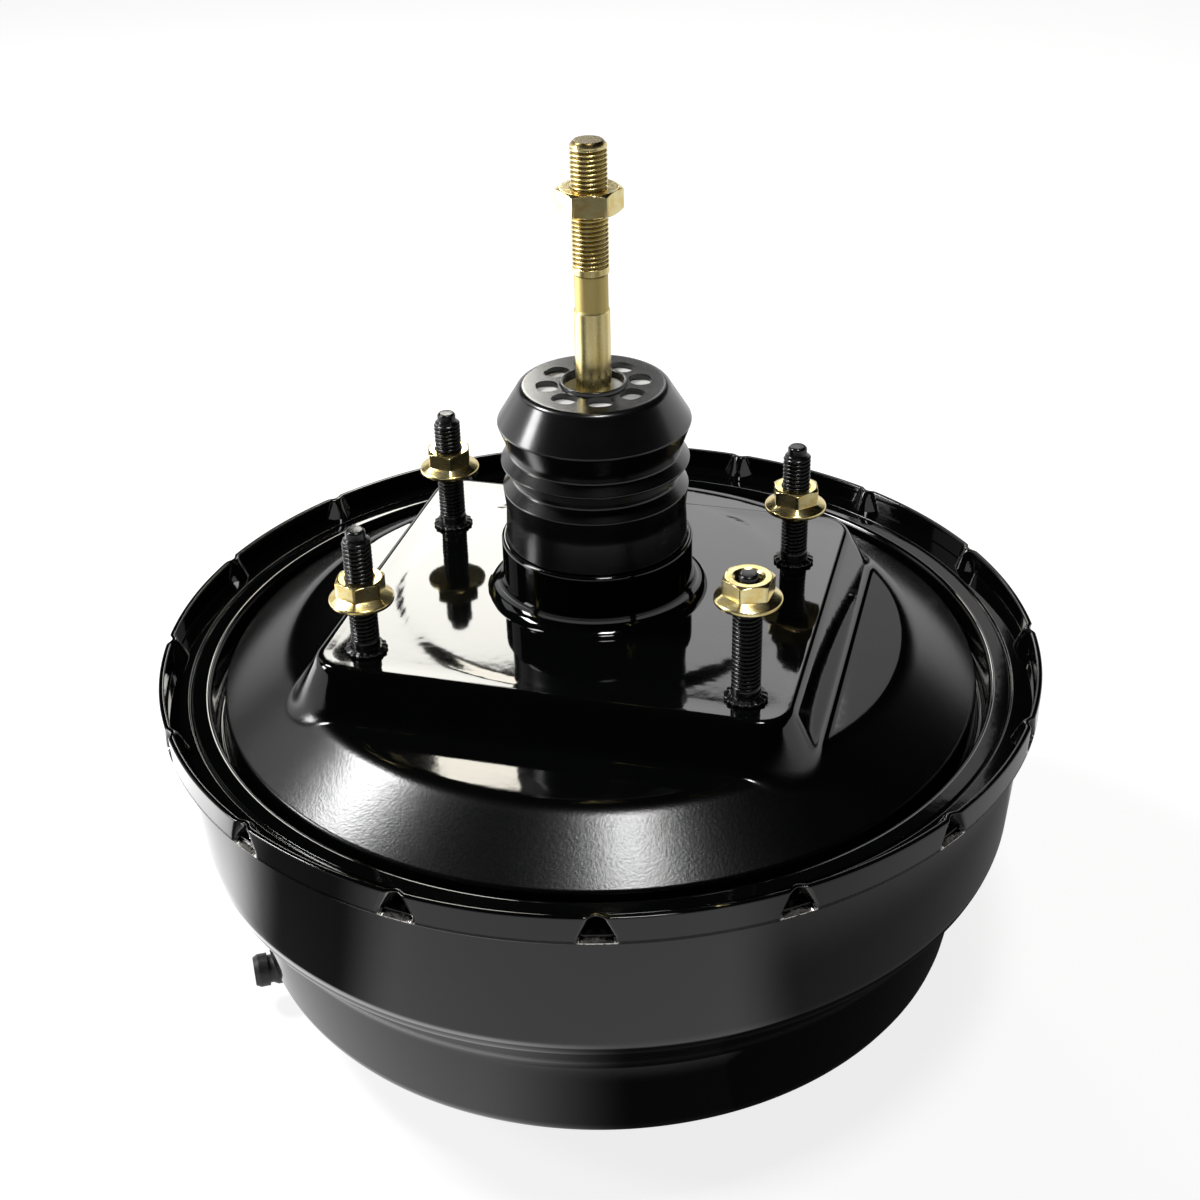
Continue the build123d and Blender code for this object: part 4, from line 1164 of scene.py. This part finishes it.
class BOOSTER_OT_diaphragm(bpy.types.Operator):
    """Rolling diaphragm between the shells and the power piston"""

    bl_idname = "booster.diaphragm"
    bl_label = "Diaphragm"

    def execute(self, context):
        """Two profiles carried round. The sheet runs from the inner bead under the rear shell
        down into the fold; the outer bead and its wall stay."""
        shell, _, _ = sizes()
        thick = 1.8 * MM
        inside, outside = low("diaphragm"), high("diaphragm")
        hub_r, bead_r = 19.8 * MM, 25.5 * MM
        sheet_z = RIM_Z + shell.plateau_rise - shell.wall - 1.0 * MM
        edge_r, fold_r = shell.plateau_r - 0.7 * MM, shell.cone_r - 4.6 * MM
        fold_z = sheet_z - cone_slope(shell) * (fold_r - edge_r)
        wall_r = outside.x - 4.9 * MM
        seat_z = GROOVE_Z + 0.9 * MM
        sheet = outline(
            [
                (hub_r, outside.z),
                (bead_r, outside.z),
                (bead_r, sheet_z),
                (edge_r, sheet_z),
                (fold_r, fold_z),
                (fold_r + 2 * MM, inside.z + thick),
                (wall_r, inside.z + thick),
                (wall_r + 0.1 * MM, inside.z),
                (fold_r + 0.4 * MM, inside.z),
                (fold_r - 1.6 * MM, fold_z - 1.2 * MM),
                (edge_r - 0.5 * MM, sheet_z - thick),
                (hub_r, sheet_z - thick),
            ],
            np.array([0.6, 0.6, 3, 2.5, 3, 0.05, 0.05, 4, 2.5, 3]) * MM,
            steps=4,
        )
        rim = outline(
            [
                (wall_r, inside.z + 2 * MM),
                (wall_r, seat_z),
                (wall_r - 1.4 * MM, seat_z),
                (wall_r - 1.4 * MM, seat_z + 9 * MM),
                (outside.x, seat_z + 9 * MM),
                (outside.x, seat_z),
                (wall_r + thick, seat_z),
                (wall_r + thick, inside.z + 2 * MM),
            ],
            np.array([0.5, 0.5, 1, 1, 0.5, 0.5]) * MM,
            steps=4,
        )
        solid(
            "diaphragm_outer_bead",
            [patch(turned(rim, 192), loop=True)],
            "housing",
            "black_rubber",
            "diaphragm",
        )
        piece = solid(
            "rolling_diaphragm",
            [patch(turned(sheet, 192), loop=True)],
            None,
            "black_rubber",
            "diaphragm",
        )
        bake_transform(piece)
        return {"FINISHED"}


class BOOSTER_OT_input_rod(bpy.types.Operator):
    """Input rod with its M10 thread, and the locknut on it"""

    bl_idname = "booster.input_rod"
    bl_label = "Input rod"

    def execute(self, context):
        """The rod is one profile carried round, with the thread cut in its end and shallow
        crimp flutes pressed in near the boot; the locknut is a column of hexagon rings."""
        _, fasteners, _ = sizes()
        end_z, collar_r = high("input_rod").z, high("input_rod").x
        ball_r = shank_r = 4.0 * MM
        ball_z = low("input_rod").z + ball_r
        ball = np.linspace(-np.pi / 2, np.radians(44), 12)  # up to where the neck leaves it
        thread_z = end_z - fasteners.rod_thread
        band_z = thread_z - fasteners.rod_band
        band_r = ROD_R - 0.38 * MM
        collar_z, collar_top_z = fasteners.rod_collar, fasteners.rod_collar + 1.5 * MM
        rod = outline(
            [
                (2.8 * MM, ball_z + 9 * MM),
                (shank_r, ball_z + 10.2 * MM),
                (shank_r, collar_z),
                (collar_r, collar_z),
                (collar_r, collar_top_z),
                (ROD_R, collar_top_z),
                (ROD_R, band_z - 0.3 * MM),
                (band_r, band_z + 0.5 * MM),
                (band_r, thread_z - 1.4 * MM),
                (ROD_R, thread_z - 0.8 * MM),
                (ROD_R, end_z - 1.2 * MM),
                (ROD_R - 1.1 * MM, end_z),
                (0, end_z),
            ],
            np.array([0.3, 0.3, 0.2, 0.3, 0.2, 0.3, 0.2, 0.3, 0.3, 0.2, 0.3, 0.2]) * MM,
            steps=2,
            hem=0.05 * MM,
        )
        ball = np.stack([ball_r * np.cos(ball), ball_z + ball_r * np.sin(ball)], axis=1)
        grid = screw(
            np.concatenate([ball, rod]),
            fasteners.rod_pitch,
            thread_z + 0.4 * MM,
            end_z - 1.0 * MM,
            columns=56,
        )
        grid = self.fluted(grid, NECK_Z + 52 * MM)
        solid(
            "threaded_input_rod",
            [patch(grid)],
            "input_rod",
            "yellow_zinc",
            "input_rod",
            crease=60,
            finish=rod_finish(band_z, thread_z),
        )
        nut = nut_grid(
            fasteners.locknut_flats,
            ROD_R - 0.5 * MM,
            high("input_rod_locknut").z - fasteners.locknut_height,
            high("input_rod_locknut").z,
            turn=np.radians(-15),
        )
        solid(
            "rod_locknut",
            [patch(nut, loop=True)],
            "input_rod",
            "yellow_zinc",
            "input_rod_locknut",
            crease=32,
        )
        return {"FINISHED"}

    def fluted(self, grid, foot):
        """Six shallow flats pressed in round the rod over a short height."""
        z = grid[..., 2]
        angle = np.arctan2(grid[..., 1], grid[..., 0])
        over = ease((z - foot) / (1.5 * MM)) * ease((foot + 7 * MM - z) / (1.5 * MM))
        press = 1 - 0.045 * over * np.maximum(np.cos(6 * angle), 0) ** 2
        return grid * np.stack([press, press, np.ones_like(press)], axis=-1)


def rod_finish(band_z, thread_z):
    """Yellow zinc with lengthwise streaks, a duller turned-down band and painted shade darkening the thread roots.
    """
    _, _, finish = sizes()
    look = Look("input_rod_zinc")
    x, y, height = look.axes()
    band = height.clamp(band_z - 0.2 * MM, band_z + 0.4 * MM)
    band = band - height.clamp(thread_z - 1.2 * MM, thread_z - 0.6 * MM)
    base = np.array(finish.zinc)
    streak = look.noise(900, 2, place=look.stretched(1, 1, 0.06))
    tint = look.blend(streak.clamp(0.3, 0.75), tuple(base), tuple(base * (0.90, 0.80, 0.55)))
    tint = look.blend(band * 0.8, tint, tuple(base * (0.62, 0.56, 0.38)))
    # Painted shade: the thread's roots are darkened nearly to black.
    painted_root_shade = 1 - ((x * x + y * y) ** 0.5).clamp(ROD_R - 0.75 * MM, ROD_R - 0.1 * MM)
    painted_root_shade = painted_root_shade * height.clamp(thread_z, thread_z + 1 * MM)
    tint = look.blend(painted_root_shade * 0.85, tint, tuple(base * (0.12, 0.09, 0.05)))
    grain = look.noise(1400, 2, place=look.stretched(1, 1, 0.3))
    return look.finish(
        Base_Color=tint,
        Metallic=1.0,
        Roughness=0.24 + 0.08 * grain + 0.18 * band,
        Normal=look.bump(grain, 0.0035 * MM),
    )


class BOOSTER_OT_check_valve(bpy.types.Operator):
    """Vacuum check valve, its beaded nozzle and its rubber grommet"""

    bl_idname = "booster.check_valve"
    bl_label = "Check valve"

    def execute(self, context):
        """House and nozzle are profiles carried round their own axes, one down, one outwards."""
        nozzle = mount("vacuum_nozzle")
        way, place = np.array(nozzle["axis"]), np.array(nozzle["pos_m"])
        house = (low("check_valve_disc") + high("check_valve_disc")) / 2
        centre = np.array([house.x, house.y, 0])
        floor_z, end_z = low("check_valve_body").z, high("check_valve_body").z
        ceiling_z = low("check_valve_grommet").z - 0.05 * MM
        top_z = high("check_valve_grommet").z
        house_r, rib_r = 9.5 * MM, 8.9 * MM
        body = outline(
            [
                (0, floor_z),
                (house_r, floor_z),
                (house_r, floor_z + 4.4 * MM),
                (rib_r, floor_z + 4.7 * MM),
                (rib_r, floor_z + 5.6 * MM),
                (house_r, floor_z + 5.9 * MM),
                (house_r, ceiling_z),
                (6.9 * MM, ceiling_z),  # stem, through the grommet
                (6.9 * MM, top_z),
                (7.8 * MM, top_z + 0.1 * MM),
                (5.7 * MM, end_z),
                (0, end_z),
            ],
            np.array([0.9, 0.2, 0.15, 0.15, 0.2, 0.6, 0.3, 0.2, 0.2, 0.3]) * MM,
            steps=4,
            hem=0.05 * MM,
        )
        # In millimetres out from the house's axis. The mount is the middle of the last bead.
        end = (place - centre) @ way / MM + 3.0
        beads = []
        for foot in (end - 15.5, end - 10, end - 4.5):
            beads += [(4.4, foot - 0.05), (5.2, foot), (5.2, foot + 3.0), (4.4, foot + 4.5)]
        tube = outline(
            np.array([(0, 6.3), (4.4, 6.3), *beads, (2.8, end), (2.8, 10), (0, 10)]) * MM,
            np.full(15, 0.12 * MM),
            steps=2,
            hem=0.03 * MM,
        )
        start = (house.x, house.y, place[2])
        solid(
            "vacuum_check_valve",
            [patch(turned(body, 72, centre)), patch(turned_about(tube, start, way, 48))],
            "housing",
            "black_plastic",
            "check_valve_body",
            crease=55,
        )
        rim = outline(
            [
                (7.0 * MM, ceiling_z + 0.05 * MM),
                (11.0 * MM, ceiling_z + 0.05 * MM),
                (11.0 * MM, RING_Z - 0.05 * MM),
                (8.95 * MM, RING_Z - 0.05 * MM),  # groove that the shell's sheet sits in
                (8.95 * MM, RING_Z + 1.65 * MM),
                (10.2 * MM, RING_Z + 1.65 * MM),
                (9.0 * MM, top_z - 0.05 * MM),
                (7.0 * MM, top_z - 0.05 * MM),
            ],
            np.array([0.8, 0.4, 0.2, 0.2, 0.4, 0.4]) * MM,
            steps=3,
        )
        solid(
            "valve_grommet",
            [patch(turned(rim, 72, centre), loop=True)],
            "housing",
            "black_rubber",
            "check_valve_grommet",
        )
        return {"FINISHED"}


class BOOSTER_OT_inner_pieces(bpy.types.Operator):
    """Finishes of the CAD nodes that show as they are, most of them inside"""

    bl_idname = "booster.inner_pieces"
    bl_label = "Inner pieces"

    def execute(self, context):
        """Each node that stays takes the material of its own slot of the record."""
        slots = {part["node"]: part["material_slot"] for part in frame["record"]["subparts"]}
        for name, node in frame["nodes"].items():
            if node.hide_render:
                continue
            node.data.materials.clear()
            node.data.materials.append(finish_of(slots[name]))
        return {"FINISHED"}


# ---------------------------------------------------------------- floor, light and camera
class BOOSTER_OT_stage(bpy.types.Operator):
    """Pale floor, soft boxes, world and the camera"""

    bl_idname = "booster.stage"
    bl_label = "Stage"

    def execute(self, context):
        """The lamps are soft boxes on a sphere round the booster, each given by its bearing, its
        height in degrees, its sides and its radiance. A black ceiling over them keeps the gloss
        dark between their images, down to the white backdrop near the horizon."""
        scene = context.scene
        scene.view_settings.view_transform = "Standard"
        self.floor()
        self.world(scene)
        self.ceiling()
        for lamp in [
            ("left_box", 180, 48, (0.22, 0.23), 55, (1, 1, 1)),
            ("top_box", -54, 77, (0.18, 0.18), 46, (1, 1, 1)),
            ("back_box", 113, 29, (0.17, 0.21), 11, (1, 0.985, 0.92)),
            ("back_card", 97, 30, (0.16, 0.23), 2.6, (1, 1, 1)),
            ("back_high_card", 111.5, 37, (0.11, 0.07), 13, (1, 0.95, 0.83)),
            ("back_right_card", 88.5, 31, (0.15, 0.26), 0.75, (1, 1, 1)),
            ("left_card", 161, 30, (0.40, 0.35), 1.0, (1, 1, 1)),
            ("low_left_box", -164, 23, (0.24, 0.24), 24, (1, 1, 1)),
        ]:
            self.lamp(*lamp)
        self.camera(scene)
        return {"FINISHED"}

    def floor(self):
        """A wide flat sheet; the camera sees it white, and darker where the light is kept off."""
        side = np.linspace(-6, 6, 3)
        x, y = np.meshgrid(side, side)
        sheet = np.stack([x, y, np.full_like(x, cad_box[0].z - 0.2 * MM)], axis=-1)
        points, quads = patch(sheet, wrap=False)
        mesh = bpy.data.meshes.new("floor")
        mesh.from_pydata(points, [], quads[:, ::-1])
        mesh.update()
        if mesh.polygons[0].normal.z < 0:
            mesh.flip_normals()
        mesh.materials.append(self.floor_finish())
        floor = bpy.data.objects.new("floor", mesh)
        bpy.context.scene.collection.objects.link(floor)

    def floor_finish(self):
        """Matt paper that glows for the camera. Glossy rays see a painted reflection image on it
        instead: glowing pale sectors, painted shadows and a painted highlight ring, by bearing and
        by distance from the axis."""
        _, _, finish = sizes()
        look = Look("studio_floor")
        paper = look.node(
            "ShaderNodeBsdfDiffuse", None, {"Color": (*finish.floor, 1), "Roughness": 0.5}
        )
        glow = look.glow(0.83 * look.ray("Camera") + look.ray("Transmission"))
        lit = look.node("ShaderNodeAddShader", None, {0: paper, 1: glow})
        x, y, _ = look.axes()
        bearing, away = y.step("ARCTAN2", y, x), (x * x + y * y) ** 0.5
        # Painted light seen only in reflections: the sector to the left glows brighter.
        left = 1 - self.sector(bearing, -157, 150)
        # Painted shade: a dark wedge of floor out past the foot.
        wedge = self.sector(bearing, -151, -121) * away.clamp(0.158, 0.172)
        # Painted shadow: the booster's own shadow towards the front right.
        right = self.sector(bearing, -46, 40) * (1 - 0.5 * away.clamp(0.19, 0.23))
        # Painted contact shadow round the booster's foot.
        foot = self.sector(bearing, -85, 30, 30) * (1 - away.clamp(0.135, 0.15))
        # Painted highlight: a bright ring that the drum's waist reflects.
        ring = away.clamp(0.138, 0.146) - away.clamp(0.155, 0.17)
        near = 0.88 + left * (1 + 1.6 * away.clamp(0.2, 0.25))
        near = near - 0.8 * wedge - 0.72 * right - 0.85 * foot
        near = near + 2 * ring * self.sector(bearing, -175, -85, 30)
        # Painted shade: the far floor in front is darker in reflection.
        painted_far_shade = self.sector(bearing, -130, -20) * away.clamp(0.50, 0.57)
        painted_reflection = near.step("MAXIMUM", near * (1 - 0.9 * painted_far_shade), 0.02)
        surface = look.mix(look.ray("Glossy"), lit, look.glow(painted_reflection))
        look.node("ShaderNodeOutputMaterial", None, {"Surface": surface})
        return look.owner

    def sector(self, bearing, start, end, soft=15):
        """1 between two bearings in degrees, 0 outside, with soft sides."""
        first, last = (
            bearing.clamp(*np.radians([side - soft / 2, side + soft / 2])) for side in (start, end)
        )
        return first - last

    def world(self, scene):
        """White behind everything for the camera, and a dim even grey for the light it gives."""
        look = Look("studio", bpy.data.worlds.new("studio"))
        scene.world = look.owner
        seen, glossy, through = (look.ray(kind) for kind in ("Camera", "Glossy", "Transmission"))
        for other in (glossy, through):
            seen = seen.step("MAXIMUM", seen, other)
        dim, white = (
            look.node("ShaderNodeBackground", None, {"Color": (1, 1, 1, 1), "Strength": strength})
            for strength in (0.04, 1.0)
        )
        look.node("ShaderNodeOutputWorld", None, {"Surface": look.mix(seen, dim, white)})

    def ceiling(self):
        """A black dome far outside the lamps, from a low height up, that only reflections see."""
        look = Look("black_ceiling")
        look.node("ShaderNodeOutputMaterial", None, {"Surface": look.glow(0)})
        radius, foot = 4, 17
        rise = np.radians(np.linspace(foot, 90, 13))
        profile = radius * np.stack([np.cos(rise), np.sin(rise)], axis=1)
        points, quads = patch(turned(profile, 48, (0, 0, 0.1)))
        mesh = bpy.data.meshes.new("ceiling")
        mesh.from_pydata(points, [], quads)
        mesh.materials.append(look.owner)
        dome = bpy.data.objects.new("ceiling", mesh)
        bpy.context.scene.collection.objects.link(dome)
        for kind in ("camera", "diffuse", "transmission", "volume_scatter", "shadow"):
            setattr(dome, "visible_" + kind, False)

    def lamp(self, name, bearing, height, sides, radiance, tone, away=1.2):
        """A rectangular soft box on the sphere round the booster, turned to its middle.

        Its power is its radiance times pi times its area.
        """
        middle = Vector((0, 0, 0.1))
        turn, rise = np.radians([bearing, height])
        way = Vector((np.cos(rise) * np.cos(turn), np.cos(rise) * np.sin(turn), np.sin(rise)))
        data = bpy.data.lights.new(name, "AREA")
        data.shape = "RECTANGLE"
        data.size, data.size_y = sides
        data.energy = radiance * np.pi * sides[0] * sides[1]
        data.color = tone
        lamp = bpy.data.objects.new(name, data)
        lamp.location = middle + away * way
        lamp.rotation_euler = (-way).to_track_quat("-Z", "Y").to_euler()
        bpy.context.scene.collection.objects.link(lamp)

    def camera(self, scene):
        """Long lens from the front, a little right and above, turned slightly about its view."""
        data = bpy.data.cameras.new("camera")
        data.lens = 55.05
        data.sensor_width = 36
        camera = bpy.data.objects.new("camera", data)
        place, target = Vector((0.1245, -0.4520, 0.3801)), Vector((0.0004, 0.0001, 0.1026))
        camera.location = place
        roll = Matrix.Rotation(np.radians(-1.3), 4, "Z")
        aim = (target - place).to_track_quat("-Z", "Y").to_matrix().to_4x4()
        camera.rotation_euler = (aim @ roll).to_euler()
        scene.collection.objects.link(camera)
        scene.camera = camera


# ---------------------------------------------------------------- panel and running
OPERATORS = [
    BOOSTER_OT_front_shell,
    BOOSTER_OT_rear_shell,
    BOOSTER_OT_studs,
    BOOSTER_OT_nuts,
    BOOSTER_OT_boot,
    BOOSTER_OT_diaphragm,
    BOOSTER_OT_springs,
    BOOSTER_OT_input_rod,
    BOOSTER_OT_check_valve,
    BOOSTER_OT_inner_pieces,
    BOOSTER_OT_stage,
]


class BOOSTER_PT_build(bpy.types.Panel):
    """Settings of the booster, and one button for each of its pieces"""

    bl_label = "Brake booster"
    bl_idname = "BOOSTER_PT_build"
    bl_space_type = "VIEW_3D"
    bl_region_type = "UI"
    bl_category = "Booster"

    def draw(self, context):
        """Every setting, then every step in order."""
        for group in sizes():
            box = self.layout.box()
            for key in group.bl_rna.properties.keys():
                if key not in {"rna_type", "name"}:
                    box.prop(group, key)
        for operator in OPERATORS:
            self.layout.operator(operator.bl_idname)


GROUPS = {
    "booster_shell": ShellSizes,
    "booster_fasteners": FastenerSizes,
    "booster_finish": Finish,
}


def register():
    """Registers the settings, the operators and the panel."""
    for key, group in GROUPS.items():
        bpy.utils.register_class(group)
        setattr(bpy.types.Scene, key, bpy.props.PointerProperty(type=group))
    for kind in [*OPERATORS, BOOSTER_PT_build]:
        bpy.utils.register_class(kind)


def unregister():
    """Takes all of them away again."""
    for kind in [BOOSTER_PT_build, *reversed(OPERATORS)]:
        bpy.utils.unregister_class(kind)
    for key, group in GROUPS.items():
        delattr(bpy.types.Scene, key)
        bpy.utils.unregister_class(group)


def main():
    """Builds every piece in order."""
    register()
    for operator in OPERATORS:
        family, name = operator.bl_idname.split(".")
        getattr(getattr(bpy.ops, family), name)()


if __name__ == "__main__":
    main()
